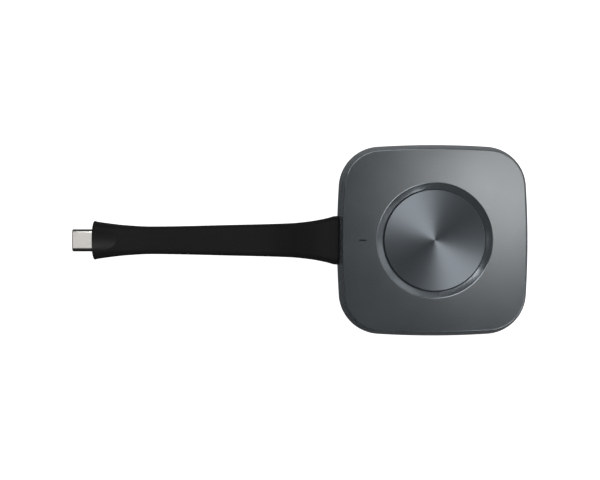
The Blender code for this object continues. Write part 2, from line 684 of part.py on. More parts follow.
def make_switch():
    mesh = bmesh.new()
    add_prism(mesh, rounded_rectangle(SWITCH_HALF, SWITCH_HALF, SHEET_CORNER, 2), ON_BOARD_Z, SWITCH_TOP_Z)
    body = make_object("switch_body", mesh, NYLON_BLACK, 0.45)
    cut = bmesh.new()
    well = [(SWITCH_WELL_RADIUS, SWITCH_WELL_Z), (SWITCH_WELL_RADIUS, SWITCH_TOP_Z + CLEAR)]
    add_turned(cut, well, SWITCH_STEPS)
    combine(body, "DIFFERENCE", cut)

    low_z, high_z = STEM_Z
    profile = [(STEM_RADIUS, low_z), (STEM_RADIUS, high_z - STEM_BEVEL), (STEM_RADIUS - STEM_BEVEL, high_z)]
    mesh = bmesh.new()
    add_turned(mesh, profile, SWITCH_STEPS)
    stem = make_object("switch_stem", mesh, ACETAL_WHITE, 0.4)
    parent_on_axis("switch_axis", [stem])


# --- Electronics ---------------------------------------------------------------------------------------


def add_chip(name, centre, half, low_z, high_z, colour, roughness=0.5, metallic=0.0):
    mesh = bmesh.new()
    add_prism(mesh, rounded_rectangle(half[0], half[1], CHIP_CORNER, 1), low_z, high_z, centre)
    return make_object(name, mesh, colour, roughness, metallic)


def make_board():
    mesh = bmesh.new()
    add_prism(mesh, rounded_rectangle(BOARD_HALF, BOARD_HALF, BOARD_CORNER), BOARD_LOW_Z, BOARD_TOP_Z)
    board = make_object("main_board", mesh, BOARD_GREEN, 0.4)
    holes = bmesh.new()
    below, above = BOARD_LOW_Z - CLEAR, BOARD_TOP_Z + CLEAR
    for place in post_places():
        add_turned(holes, [(POST_RADIUS + GAP, below), (POST_RADIUS + GAP, above)], SCREW_STEPS, place)
    for place in BOARD_SCREWS:
        add_turned(holes, [(SCREW_HOLE, below), (SCREW_HOLE, above)], SCREW_STEPS, place)
    combine(board, "DIFFERENCE", holes)


def make_shield_can(name, centre, half, low_z, high_z):
    """A drawn tin can, open towards the board above it."""
    mesh = bmesh.new()
    outer = rounded_rectangle(half[0], half[1], SHEET_CORNER, 2)
    inner = rounded_rectangle(half[0] - SHEET_WALL, half[1] - SHEET_WALL, CHIP_CORNER, 2)
    rings = [
        at_height(outer, low_z, centre),
        at_height(outer, high_z, centre),
        at_height(inner, high_z, centre),
        at_height(inner, low_z + SHEET_WALL, centre),
    ]
    add_loft(mesh, rings)
    make_object(name, mesh, BRIGHT_METAL, 0.3, 1.0)


def make_antenna(name, side):
    """A stamped strip standing on the board's edge, with its upper edge folded inwards."""
    outer_y, inner_y, folded_y = 25.9 * MM, 25.6 * MM, 24.0 * MM
    fold_z, top_z = 11.3 * MM, 11.6 * MM
    outline = [
        (outer_y, ON_BOARD_Z), (outer_y, top_z), (folded_y, top_z),
        (folded_y, fold_z), (inner_y, fold_z), (inner_y, ON_BOARD_Z),
    ]
    mesh = bmesh.new()
    add_loft(mesh, [[(x, side * y, z) for y, z in outline] for x in ANTENNA_X])
    make_object(name, mesh, GOLD, 0.35, 1.0)


def make_status_light():
    add_chip("status_led", (SLIT_X, 0), (LED_HALF, LED_HALF), ON_BOARD_Z, LED_TOP_Z, LENS_WHITE)
    rings = []
    for half_length, z in PIPE_SECTIONS:
        rings.append(at_height(rounded_rectangle(half_length, PIPE_HALF_Y, SMALL_CORNER, 1), z, (SLIT_X, 0)))
    mesh = bmesh.new()
    add_loft(mesh, rings)
    make_object("light_pipe", mesh, SMOKED_CLEAR, 0.15)


def make_electronics():
    make_board()
    top_z = UNDER_BOARD_Z
    add_chip("processor", PROCESSOR_PLACE, PROCESSOR_HALF, CHIP_LOW_Z, top_z, CHIP_BLACK)
    add_chip("memory_chip", MEMORY_PLACE, MEMORY_HALF, CHIP_LOW_Z, top_z, CHIP_BLACK)
    add_chip("power_inductor", INDUCTOR_PLACE, INDUCTOR_HALF, TALL_LOW_Z, top_z, FERRITE_GREY, 0.6)
    add_chip("thermal_pad", PROCESSOR_PLACE, THERMAL_PAD_HALF, *THERMAL_PAD_Z, PAD_BLUE, 0.8)
    add_chip("heat_spreader", SPREADER_PLACE, SPREADER_HALF, *SPREADER_Z, BRIGHT_METAL, 0.35, 1.0)
    make_shield_can("wifi_shield", RADIO_PLACE, SHIELD_HALF, TALL_LOW_Z, top_z)
    add_chip("wifi_chip", RADIO_PLACE, RADIO_HALF, RADIO_LOW_Z, top_z, CHIP_BLACK)
    make_antenna("antenna_left", 1)
    make_antenna("antenna_right", -1)
    make_status_light()
    add_chip("cable_connector", CONNECTOR_PLACE, CONNECTOR_HALF, CONNECTOR_LOW_Z, top_z, NYLON_CREAM)
    add_chip("board_header", HEADER_PLACE, HEADER_HALF, CONNECTOR_LOW_Z, top_z, NYLON_CREAM)


# --- Screws --------------------------------------------------------------------------------------------


def make_screw(name, place, head_z, shank_z):
    """A pan-head screw from its head's flat face to its shank's tip, with a cross recess in the head."""
    up = 1 if shank_z > head_z else -1
    under_head = head_z + up * HEAD_HEIGHT
    mesh = bmesh.new()
    profile = [
        (HEAD_RADIUS - HEAD_BEVEL, head_z),
        (HEAD_RADIUS, head_z + up * HEAD_BEVEL),
        (HEAD_RADIUS, under_head),
        (SCREW_RADIUS, under_head),
        (SCREW_RADIUS, shank_z - up * SCREW_RADIUS / 2),
        (SCREW_RADIUS / 2, shank_z),
    ]
    add_turned(mesh, profile, SCREW_STEPS, place)
    screw = make_object(name, mesh, BLACK_ZINC, 0.35, 1.0, origin=(*place, head_z))
    cross = bmesh.new()
    arm, half_slot, depth = 1.0 * MM, 0.2 * MM, 0.5 * MM
    outline = []
    for c, s in ((1, 0), (0, 1), (-1, 0), (0, -1)):
        for x, y in ((arm, -half_slot), (arm, half_slot), (half_slot, half_slot)):
            outline.append((c * x - s * y, s * x + c * y))
    zs = sorted((head_z - up * depth, head_z + up * depth))
    add_prism(cross, outline, zs[0], zs[1], place)
    combine(screw, "DIFFERENCE", cross)


def make_screws():
    for number, place in enumerate(post_places(), 1):
        make_screw(f"housing_screw_{number}", place, *HOUSING_SCREW_Z)
    for number, place in enumerate(BOARD_SCREWS, 1):
        make_screw(f"board_screw_{number}", place, ON_BOARD_Z + HEAD_HEIGHT, BOARD_SCREW_TIP_Z)


# --- Lead and plug -------------------------------------------------------------------------------------


def strap_outline(x, inset=0.0):
    half_width = smooth_value(STRAP_WIDTH, x) / 2 - inset
    half_thick = smooth_value(STRAP_THICKNESS, x) / 2 - inset
    return rounded_rectangle(half_width, half_thick, 2 * SECTION_CORNER * half_thick, SECTION_CORNER_STEPS)


def strap_rings():
    """The strap's sections: its root follows the housing's wall, and its end face bows outwards."""
    outline = strap_outline(STRAP_ROOT_X)
    root_z = smooth_value(LEAD_ROUTE, STRAP_ROOT_X)
    rings = [[(wall_x(y, root_z + z) - GAP, y, root_z + z) for y, z in outline]]
    first_x, last_x = STRAP_ROOT_X - 1.2 * MM, STRAP_END_X + 1.4 * MM
    stations = round((first_x - last_x) / STRAP_STATION)
    for i in range(stations + 1):
        x = first_x + (last_x - first_x) * i / stations
        rings.append(section_ring(x, strap_outline(x)))
    for x, inset in ((STRAP_END_X + STRAP_END_BEVEL, 0.0), (STRAP_END_X, STRAP_END_BEVEL)):
        ring = upright_ring(x, strap_outline(x, inset), PLUG_Z)
        half_width = max(y for _, y, _ in ring)
        rings.append([(x + STRAP_END_BOW * (y / half_width) ** 2, y, z) for x, y, z in ring])
    return rings


def make_strap():
    mesh = bmesh.new()
    add_loft(mesh, strap_rings())
    strap = make_object("cable_strap", mesh, STRAP_BLACK, 0.55)

    scoop = bmesh.new()
    u_segments, v_segments = SCOOP_SEGMENTS
    bmesh.ops.create_uvsphere(scoop, u_segments=u_segments, v_segments=v_segments, radius=1.0)
    bmesh.ops.scale(scoop, verts=scoop.verts, vec=SCOOP_HALF)
    bmesh.ops.translate(scoop, verts=scoop.verts, vec=(SCOOP_CENTRE[0], 0, SCOOP_CENTRE[1]))
    combine(strap, "DIFFERENCE", scoop)

    channel = bmesh.new()
    far_x, near_x = POCKET_X[1] - OVERLAP, STRAP_ROOT_X + 2.0 * MM
    stations = [near_x + (far_x - near_x) * i / CHANNEL_STEPS for i in range(CHANNEL_STEPS + 1)]
    add_loft(channel, [section_ring(x, circle(CHANNEL_RADIUS, 12)) for x in stations])
    combine(strap, "DIFFERENCE", channel)

    pocket = bmesh.new()
    outline = rounded_rectangle(*POCKET_HALF, POCKET_CORNER, 2)
    add_loft(pocket, [upright_ring(x, outline, PLUG_Z) for x in POCKET_X])
    combine(strap, "DIFFERENCE", pocket)

    mouth = bmesh.new()
    outline = stadium(SHELL_HALF[0] + GAP / 2, SHELL_HALF[1] + GAP / 2)
    add_loft(mouth, [upright_ring(x, outline, PLUG_Z) for x in (STRAP_END_X - CLEAR, POCKET_X[0] + OVERLAP)])
    combine(strap, "DIFFERENCE", mouth)


def make_core():
    curve = bpy.data.curves.new("cable_core", "CURVE")
    curve.dimensions = "3D"
    curve.bevel_depth = CORE_RADIUS
    curve.bevel_resolution = 2
    curve.use_fill_caps = True
    start_x = LEAD_ROUTE[0][0]
    steps = round((start_x - CORE_END_X) / (4 * CORE_RADIUS))
    spline = curve.splines.new("POLY")
    spline.points.add(steps)
    for i, point in enumerate(spline.points):
        x = start_x + (CORE_END_X - start_x) * i / steps
        point.co = (x, 0, smooth_value(LEAD_ROUTE, x), 1)
    curve.materials.append(make_material("cable_core", PLASTIC_BLACK, 0.5))
    core = bpy.data.objects.new("cable_core", curve)
    bpy.context.scene.collection.objects.link(core)


def make_anchor():
    mesh = bmesh.new()
    flange_z = sum(ANCHOR_FLANGE_Z) / 2
    half_z = (ANCHOR_FLANGE_Z[1] - ANCHOR_FLANGE_Z[0]) / 2
    outline = rounded_rectangle(ANCHOR_FLANGE_HALF_Y, half_z, 1.0 * MM, 2)
    add_loft(mesh, [upright_ring(x, outline, flange_z) for x in ANCHOR_FLANGE_X])
    anchor = make_object("strap_anchor", mesh, PLASTIC_BLACK, 0.6)
    neck = bmesh.new()
    outline = rounded_rectangle(*ANCHOR_NECK_HALF, POCKET_CORNER, 2)
    add_loft(neck, [upright_ring(x, outline, ANCHOR_Z) for x in ANCHOR_NECK_X])
    combine(anchor, "UNION", neck)
    channel = bmesh.new()
    xs = [ANCHOR_NECK_X[0] - 1.5 * MM + 1.0 * MM * i for i in range(8)]
    add_loft(channel, [section_ring(x, circle(CHANNEL_RADIUS + FIT, 12)) for x in xs])
    combine(anchor, "DIFFERENCE", channel)


def stadium(half_y, half_z):
    return rounded_rectangle(half_y, half_z, 0.999 * half_z, 6)


def add_tube_along_x(mesh, outer, inner, xs):
    """A tube with flat ends between the two xs, its bore as wide as the inner outline."""
    rings = [upright_ring(xs[0], outer, PLUG_Z), upright_ring(xs[1], outer, PLUG_Z)]
    rings += [upright_ring(xs[1], inner, PLUG_Z), upright_ring(xs[0], inner, PLUG_Z)]
    add_loft(mesh, rings, join_ends=True)


def make_contacts(name, side):
    """One row of contacts: a comb of spring fingers in front of the bar that holds them."""
    nose_x = SHELL_NOSE_X + 1.2 * MM
    bar_x, back_x = CONTACT_BAR_X
    half = CONTACT_WIDTH / 2
    outline = [(back_x, -CONTACT_BAR_HALF), (back_x, CONTACT_BAR_HALF), (bar_x, CONTACT_BAR_HALF)]
    for i in range(CONTACTS_PER_ROW):
        y = CONTACT_PITCH * ((CONTACTS_PER_ROW - 1) / 2 - i)
        outline += [(bar_x, y + half), (nose_x, y + half), (nose_x, y - half), (bar_x, y - half)]
    outline.append((bar_x, -CONTACT_BAR_HALF))
    low_z, high_z = mirrored(CONTACT_Z, side)
    mesh = bmesh.new()
    add_prism(mesh, outline, PLUG_Z + low_z, PLUG_Z + high_z)
    make_object(name, mesh, GOLD, 0.3, 1.0)


def make_shell():
    outer = stadium(*SHELL_HALF)
    nosed = stadium(SHELL_HALF[0] - NOSE_BEVEL, SHELL_HALF[1] - NOSE_BEVEL / 2)
    inner = stadium(SHELL_HALF[0] - SHELL_WALL, SHELL_HALF[1] - SHELL_WALL)
    mesh = bmesh.new()
    rings = [
        upright_ring(SHELL_BACK_X, outer, PLUG_Z),
        upright_ring(SHELL_NOSE_X + NOSE_BEVEL, outer, PLUG_Z),
        upright_ring(SHELL_NOSE_X, nosed, PLUG_Z),
        upright_ring(SHELL_NOSE_X, stadium(*NOSE_INNER_HALF), PLUG_Z),
        upright_ring(SHELL_NOSE_X + NOSE_BEVEL, inner, PLUG_Z),
        upright_ring(SHELL_BACK_X, inner, PLUG_Z),
    ]
    add_loft(mesh, rings, join_ends=True)
    make_object("usb_shell", mesh, NICKEL, 0.25, 1.0)


def make_insulator():
    front_x, back_x = SHELL_NOSE_X + 0.5 * MM, SHELL_BACK_X - 0.3 * MM
    body = stadium(SHELL_HALF[0] - SHELL_WALL - FIT, SHELL_HALF[1] - SHELL_WALL - FIT)
    mesh = bmesh.new()
    add_loft(mesh, [upright_ring(x, body, PLUG_Z) for x in (front_x, back_x)])
    insulator = make_object("usb_insulator", mesh, PLASTIC_BLACK, 0.5)
    cut = bmesh.new()
    cavity = rounded_rectangle(*CAVITY_HALF, SMALL_CORNER, 2)
    add_loft(cut, [upright_ring(x, cavity, PLUG_Z) for x in (front_x - CLEAR, CAVITY_END_X)])
    combine(insulator, "DIFFERENCE", cut)


def make_latch(name, side):
    ys = mirrored(LATCH_Y, side)
    mesh = bmesh.new()
    low = (SHELL_NOSE_X + 1.0 * MM, ys[0], PLUG_Z - LATCH_HALF_Z)
    add_box(mesh, low, (CONTACT_BAR_X[1], ys[1], PLUG_Z + LATCH_HALF_Z))
    make_object(name, mesh, BRIGHT_METAL, 0.3, 1.0)


def make_plug():
    make_shell()
    make_insulator()
    make_contacts("usb_contacts_upper", 1)
    make_contacts("usb_contacts_lower", -1)
    make_latch("usb_latch_left", 1)
    make_latch("usb_latch_right", -1)

    mesh = bmesh.new()
    outer = rounded_rectangle(*CAN_HALF, SHEET_CORNER, 2)
    inner = rounded_rectangle(CAN_HALF[0] - SHEET_WALL, CAN_HALF[1] - SHEET_WALL, CHIP_CORNER, 2)
    add_tube_along_x(mesh, outer, inner, CAN_X)
    make_object("plug_shield", mesh, BRIGHT_METAL, 0.35, 1.0)
    mesh = bmesh.new()
    half_y, half_z = PLUG_BOARD_HALF
    add_box(mesh, (PLUG_BOARD_X[0], -half_y, PLUG_Z - half_z), (PLUG_BOARD_X[1], half_y, PLUG_Z + half_z))
    make_object("plug_board", mesh, BOARD_GREEN, 0.4)


clear_scene()
make_top_cover()
make_bottom_cover()
make_foot_pad_and_label()
make_button()
make_springs()
make_spring_carrier()
make_switch()
make_electronics()
make_screws()
make_strap()
make_core()
make_anchor()
make_plug()
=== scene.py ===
"""Looks of the wireless streaming puck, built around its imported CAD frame."""

import json
import math

import bmesh
import bpy
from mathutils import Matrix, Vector


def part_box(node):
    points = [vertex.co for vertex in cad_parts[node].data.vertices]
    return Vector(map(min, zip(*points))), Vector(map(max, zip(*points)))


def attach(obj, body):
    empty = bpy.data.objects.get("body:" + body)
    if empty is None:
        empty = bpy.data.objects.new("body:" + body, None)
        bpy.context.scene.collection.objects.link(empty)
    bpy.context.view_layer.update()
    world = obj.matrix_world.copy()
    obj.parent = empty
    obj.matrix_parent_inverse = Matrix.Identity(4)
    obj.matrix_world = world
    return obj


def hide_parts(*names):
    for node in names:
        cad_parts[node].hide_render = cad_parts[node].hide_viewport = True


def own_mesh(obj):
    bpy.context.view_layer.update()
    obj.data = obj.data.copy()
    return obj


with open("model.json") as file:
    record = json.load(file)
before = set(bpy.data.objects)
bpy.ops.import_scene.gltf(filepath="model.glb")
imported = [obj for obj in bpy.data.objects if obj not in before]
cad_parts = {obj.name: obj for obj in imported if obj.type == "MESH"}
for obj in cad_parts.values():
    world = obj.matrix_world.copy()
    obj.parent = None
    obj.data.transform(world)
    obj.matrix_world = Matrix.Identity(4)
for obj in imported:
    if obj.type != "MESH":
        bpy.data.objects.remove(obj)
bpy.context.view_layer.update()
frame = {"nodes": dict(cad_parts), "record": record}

MM = 0.001
GAP = 0.3 * MM
OVERLAP = 0.5 * MM  # how far a joined shape runs into its neighbour
CLEAR = 1.0 * MM  # how far a cut runs past a surface

# An edge that turns by more than this is shaded sharp, on hard parts, on the strap and on wire
SHARP_DEG = 32
STRAP_SHARP_DEG = 24
WIRE_SHARP_DEG = 60

# Places and sizes read from the frame
TOP_LOW, TOP_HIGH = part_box("top_cover")
BASE_LOW, BASE_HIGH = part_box("bottom_cover")
PAD_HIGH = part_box("foot_pad")[1]
LABEL_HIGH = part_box("rating_label")[1]
DISC_LOW, DISC_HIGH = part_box("button_plate")
SHELL_LOW, SHELL_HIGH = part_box("usb_shell")
CAN_LOW, CAN_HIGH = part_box("plug_shield")
ANCHOR_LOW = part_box("strap_anchor")[0]

# Housing plan and walls, as in the CAD model
PUCK_HALF = 35.0 * MM
SIDE_BOW_RADIUS = 320.0 * MM
CORNER_CENTRE = 19.2 * MM
SIDE_STEPS = 18
CORNER_STEPS = 26
SEAM_Z = 5.5 * MM
SEAM_BREAK = 0.12 * MM  # the small bevel along each side of the seam
RIM_Z = TOP_LOW.z
PUCK_HEIGHT = TOP_HIGH.z
BASE_Z = BASE_LOW.z
EDGE_BEVEL = 0.3 * MM
# Narrow flats beside rolled edges, which keep the shading of the wide flats even
RIM_FLAT = 0.12 * MM
FLAT_EDGE = 0.15 * MM
WALL_LEAN = 1.9 * MM
BASE_INSET = 2.6 * MM
WALL = 1.8 * MM
FLOOR_TOP = 3.0 * MM
CEILING = PUCK_HEIGHT - WALL
LIP_INSET = 0.9 * MM
LIP_HEIGHT = 1.1 * MM
TOP_WALL_LEVELS = 14
BASE_WALL_LEVELS = 12
INNER_LEVEL = 10.0 * MM  # one more ring up the inside of the leaning wall

# Foot pad and its label recess
PAD_BEVEL = 0.2 * MM
LABEL_RECESS = 0.5 * MM
LABEL_CORNER = 2.0 * MM

# Button well
WELL_RADIUS = 18.5 * MM
WELL_MOUTH = 18.32 * MM
CONE_RADIUS = 20.85 * MM
CONE_DEPTH = 0.9 * MM
CONE_ROLL = 0.9 * MM  # radius of its rolled outer edge
CONE_BREAK = 0.25 * MM
MOUTH_BREAK = 0.05 * MM
MOUTH_DEPTH = (0.8 * MM, 1.0 * MM)  # the mouth's straight part, and where the well is wide again
COLLAR_RADIUS = 20.3 * MM
COLLAR_END_Z = 10.6 * MM

# Button disc: its rounded edge, and the small facet that closes its middle
DISC_EDGE = 0.15 * MM
DISC_MIDDLE = 0.2 * MM

# Screws, rails and ribs inside the covers
POST_CENTRE = 20.5 * MM
POST_RADIUS = 2.6 * MM
POST_LOW_Z = 4.8 * MM
POST_HOLE_Z = (4.0 * MM, 10.5 * MM)
SCREW_HOLE = 1.25 * MM
HEAD_HOLE = 2.3 * MM
BASE_BOSS = (3.4 * MM, 4.5 * MM)  # radius and top
BOARD_BOSS = (2.2 * MM, 6.0 * MM)
BOARD_HOLE_TOP_Z = 7.3 * MM
RAIL_X = (1.8 * MM, 2.8 * MM)
RAIL_Y = (20.8 * MM, 23.2 * MM)
RAIL_LOW_Z = 8.4 * MM
RIB_X = (-28.9 * MM, -27.9 * MM)
RIB_Y = (6.5 * MM, 9.0 * MM)
RIB_LOW_Z = 8.3 * MM
RIB_HIGH_Z = 6.6 * MM
CABLE_OPENING_HALF_Y = 6.3 * MM
CABLE_OPENING_Z = (4.3 * MM, 9.1 * MM)
OPENING_DEPTH = 1.9 * MM  # how far it runs past the anchor's outer end

# Status slit: half its length in X and half its width
SLIT_HALF = (1.35 * MM, 0.25 * MM)
SLIT_CORNER = 0.24 * MM

# The lead's route as (x, z), its widths and its thicknesses
LEAD_ROUTE = (
    (-0.0260, 0.00470), (-0.0280, 0.00485), (-0.0300, 0.00545), (-0.0330, 0.00645), (-0.0353, 0.00670),
    (-0.0410, 0.00645), (-0.0470, 0.00530), (-0.0530, 0.00380), (-0.0590, 0.00272), (-0.0660, 0.00226),
    (-0.0750, 0.00220), (-0.0850, 0.00220), (-0.0950, 0.00220), (-0.1040, 0.00234), (-0.1110, 0.00278),
    (-0.1180, 0.00322), (-0.1250, 0.00330),
)
STRAP_WIDTH = (
    (-0.1250, 0.0144), (-0.1240, 0.01405), (-0.1198, 0.0128), (-0.1128, 0.0112), (-0.1036, 0.01025),
    (-0.0740, 0.0114), (-0.0520, 0.0126), (-0.0447, 0.0140), (-0.0388, 0.0162), (-0.0353, 0.0179),
)
STRAP_THICKNESS = (
    (-0.1250, 0.0065), (-0.1180, 0.0063), (-0.1110, 0.0053), (-0.1040, 0.0044),
    (-0.0950, 0.0042), (-0.0600, 0.0042), (-0.0460, 0.0048), (-0.0353, 0.0055),
)
SECTION_CORNER = 0.84  # corner radius as a share of half the thickness
STRAP_STATIONS = 110
STRAP_ROOT_X = -35.3 * MM
STRAP_END_X = -125.0 * MM
STRAP_END_BOW = 0.5 * MM
STRAP_END_ROLL = 0.6 * MM
SCOOP_CENTRE = (-127.5 * MM, 7.15 * MM)
SCOOP_HALF = (16.9 * MM, 4.55 * MM, 1.25 * MM)
PLUG_Z = (SHELL_LOW.z + SHELL_HIGH.z) / 2
CHANNEL_RADIUS = 1.5 * MM
ROUTE_STATIONS = 60
JOIN = 0.2 * MM  # how far the channel and the mouth run into the pocket
POCKET_HALF_Z = 1.9 * MM
POCKET_CORNER = 0.6 * MM
MOUTH_GAP = 0.12 * MM
NOSE_ROLL = 0.35 * MM
PLUG_WALL = 0.2 * MM

# Springs under the button
SPRING_CIRCLE = 12.0 * MM
FIRST_SPRING_DEG = 90
SPRING_RADIUS = 1.8 * MM
SPRING_WIRE = 0.25 * MM
SPRING_TURNS = 3.5
SPRING_STEPS_PER_TURN = 32


# --- Mesh tools ----------------------------------------------------------------------------------------


def add_loft(mesh, rings, join_ends=False):
    loops = [[mesh.verts.new(point) for point in ring] for ring in rings]
    pairs = list(zip(loops, loops[1:]))
    if join_ends:
        pairs.append((loops[-1], loops[0]))
    else:
        mesh.faces.new(loops[0][::-1])
        mesh.faces.new(loops[-1])
    for first, second in pairs:
        for i, corner in enumerate(first):
            j = (i + 1) % len(first)
            mesh.faces.new((corner, first[j], second[j], second[i]))


def loft(rings, join_ends=False):
    mesh = bmesh.new()
    add_loft(mesh, rings, join_ends)
    return mesh


def add_box(mesh, low, high):
    corners = [(low[0], low[1]), (high[0], low[1]), (high[0], high[1]), (low[0], high[1])]
    add_loft(mesh, [at_height(corners, low[2]), at_height(corners, high[2])])


def at_height(outline, z, centre=(0, 0)):
    return [(x + centre[0], y + centre[1], z) for x, y in outline]


def evenly(start, end, steps):
    return [start + (end - start) * i / steps for i in range(steps + 1)]


def upright_ring(x, outline, z):
    return [(x, across, z + height) for across, height in outline]


def circle(radius, steps=48):
    turns = [2 * math.pi * i / steps for i in range(steps)]
    return [(radius * math.cos(turn), radius * math.sin(turn)) for turn in turns]


def rounded_rectangle(half_x, half_y, radius, steps=6, along=1):
    """Outline with arc corners. Sides in X are split into `along` lengths, the others into a quarter."""
    points = []
    signs = ((1, 1), (-1, 1), (-1, -1), (1, -1))
    for quarter, (side_x, side_y) in enumerate(signs):
        arc = []
        for i in range(steps + 1):
            turn = math.pi / 2 * (quarter + i / steps)
            x = side_x * (half_x - radius) + radius * math.cos(turn)
            y = side_y * (half_y - radius) + radius * math.sin(turn)
            arc.append((x, y))
        points.append(arc)
    outline = []
    for quarter, arc in enumerate(points):
        outline += arc
        start, end = arc[-1], points[(quarter + 1) % 4][0]
        flat = along if quarter % 2 == 0 else max(1, along // 4)
        for i in range(1, flat):
            t = i / flat
            outline.append((start[0] + (end[0] - start[0]) * t, start[1] + (end[1] - start[1]) * t))
    return outline


def stadium(half_y, half_z, steps=28, along=20):
    """Two half circles joined by flats, which are split so that they shade flat."""
    end = half_y - half_z
    points = []
    for side in (1, -1):
        for i in range(steps + 1):
            turn = math.pi * i / steps
            points.append((side * (end + half_z * math.sin(turn)), -side * half_z * math.cos(turn)))
        for i in range(1, along):
            points.append((side * end * (1 - 2 * i / along), side * half_z))
    return points


def puck_outline(inset):
    """The housing's plan, moved inwards by inset: bowed sides joined by tangent corner arcs."""
    corner_radius = SIDE_BOW_RADIUS - math.hypot(CORNER_CENTRE - PUCK_HALF + SIDE_BOW_RADIUS, CORNER_CENTRE)
    bow_centre = PUCK_HALF - SIDE_BOW_RADIUS
    bow_end = math.atan2(CORNER_CENTRE, CORNER_CENTRE - bow_centre)
    corner_turn = math.pi / 2 - 2 * bow_end
    points = []
    for c, s in ((1, 0), (0, 1), (-1, 0), (0, -1)):  # the cosine and sine of each quarter turn
        side = []
        for i in range(SIDE_STEPS + 1):
            turn = bow_end * (2 * i / SIDE_STEPS - 1)
            reach = SIDE_BOW_RADIUS - inset
            side.append((bow_centre + reach * math.cos(turn), reach * math.sin(turn)))
        for i in range(1, CORNER_STEPS):
            turn = bow_end + corner_turn * i / CORNER_STEPS
            reach = corner_radius - inset
            side.append((CORNER_CENTRE + reach * math.cos(turn), CORNER_CENTRE + reach * math.sin(turn)))
        points += [(c * x - s * y, s * x + c * y) for x, y in side]
    return points


def matched_circle(radius):
    """A circle with a point in the direction of each point of the housing's plan."""
    turns = [math.atan2(y, x) for x, y in puck_outline(0)]
    return [(radius * math.cos(turn), radius * math.sin(turn)) for turn in turns]


def wall_inset(z):
    """How far the outer wall stands in from the seam's line at height z."""
    if z < SEAM_Z:
        drop = (SEAM_Z - z) / (SEAM_Z - BASE_Z)
        return BASE_INSET * drop**2
    rise = (z - SEAM_Z) / (PUCK_HEIGHT - EDGE_BEVEL - SEAM_Z)
    return WALL_LEAN * (0.8 * rise + 0.2 * rise**2)


def wall_x(y, z):
    reach = SIDE_BOW_RADIUS - wall_inset(z)
    return SIDE_BOW_RADIUS - PUCK_HALF - math.sqrt(reach**2 - y**2)


def smooth_value(points, x):
    """Value at x of a smooth curve through (x, value) points that never overshoots them."""
    points = sorted(points)
    xs = [point[0] for point in points]
    values = [point[1] for point in points]
    slopes = [(values[i + 1] - values[i]) / (xs[i + 1] - xs[i]) for i in range(len(xs) - 1)]
    tangents = [0.0]
    for before, after in zip(slopes, slopes[1:]):
        tangents.append(2 * before * after / (before + after) if before * after > 0 else 0.0)
    tangents.append(0.0)
    i = max(0, min(len(xs) - 2, sum(value <= x for value in xs) - 1))
    step = xs[i + 1] - xs[i]
    t = min(max((x - xs[i]) / step, 0.0), 1.0)
    return (
        (2 * t**3 - 3 * t**2 + 1) * values[i]
        + (t**3 - 2 * t**2 + t) * step * tangents[i]
        + (3 * t**2 - 2 * t**3) * values[i + 1]
        + (t**3 - t**2) * step * tangents[i + 1]
    )


def section_ring(x, outline):
    """A ring across the lead at x, square to its route."""
    reach = 0.5 * MM
    rise = smooth_value(LEAD_ROUTE, x - reach) - smooth_value(LEAD_ROUTE, x + reach)
    normal = Vector((rise, 0, 2 * reach)).normalized()
    centre = Vector((x, 0, smooth_value(LEAD_ROUTE, x)))
    return [centre + Vector((0, across, 0)) + normal * height for across, height in outline]


def arc_points(centre, radius, start_deg, end_deg, steps):
    """(r, z) points of an arc in a profile, from one angle to the other."""
    points = []
    for i in range(steps + 1):
        turn = math.radians(start_deg + (end_deg - start_deg) * i / steps)
        points.append((centre[0] + radius * math.cos(turn), centre[1] + radius * math.sin(turn)))
    return points


def make_piece(name, mesh, material, sharp_deg=SHARP_DEG):
    bmesh.ops.recalc_face_normals(mesh, faces=mesh.faces)
    data = bpy.data.meshes.new(name)
    mesh.to_mesh(data)
    mesh.free()
    piece = bpy.data.objects.new(name, data)
    bpy.context.scene.collection.objects.link(piece)
    data.materials.append(material)
    smooth(piece, sharp_deg)
    return piece


def smooth(piece, sharp_deg):
    piece.data.shade_smooth()
    piece.data.set_sharp_from_angle(angle=math.radians(sharp_deg))


def combine(piece, operation, mesh, sharp_deg=SHARP_DEG):
    """Cuts the bmesh out of the piece, or joins it on, and keeps the result as the piece's own mesh."""
    bmesh.ops.recalc_face_normals(mesh, faces=mesh.faces)
    data = bpy.data.meshes.new("operand")
    mesh.to_mesh(data)
    mesh.free()
    helper = bpy.data.objects.new("operand", data)
    bpy.context.scene.collection.objects.link(helper)
    modifier = piece.modifiers.new("combine", "BOOLEAN")
    modifier.operation = operation
    modifier.object = helper
    modifier.solver = "EXACT"
    graph = bpy.context.evaluated_depsgraph_get()
    result = bpy.data.meshes.new_from_object(piece.evaluated_get(graph))
    piece.modifiers.clear()
    piece.data = result
    bpy.data.objects.remove(helper)
    smooth(piece, sharp_deg)


# --- Materials -----------------------------------------------------------------------------------------


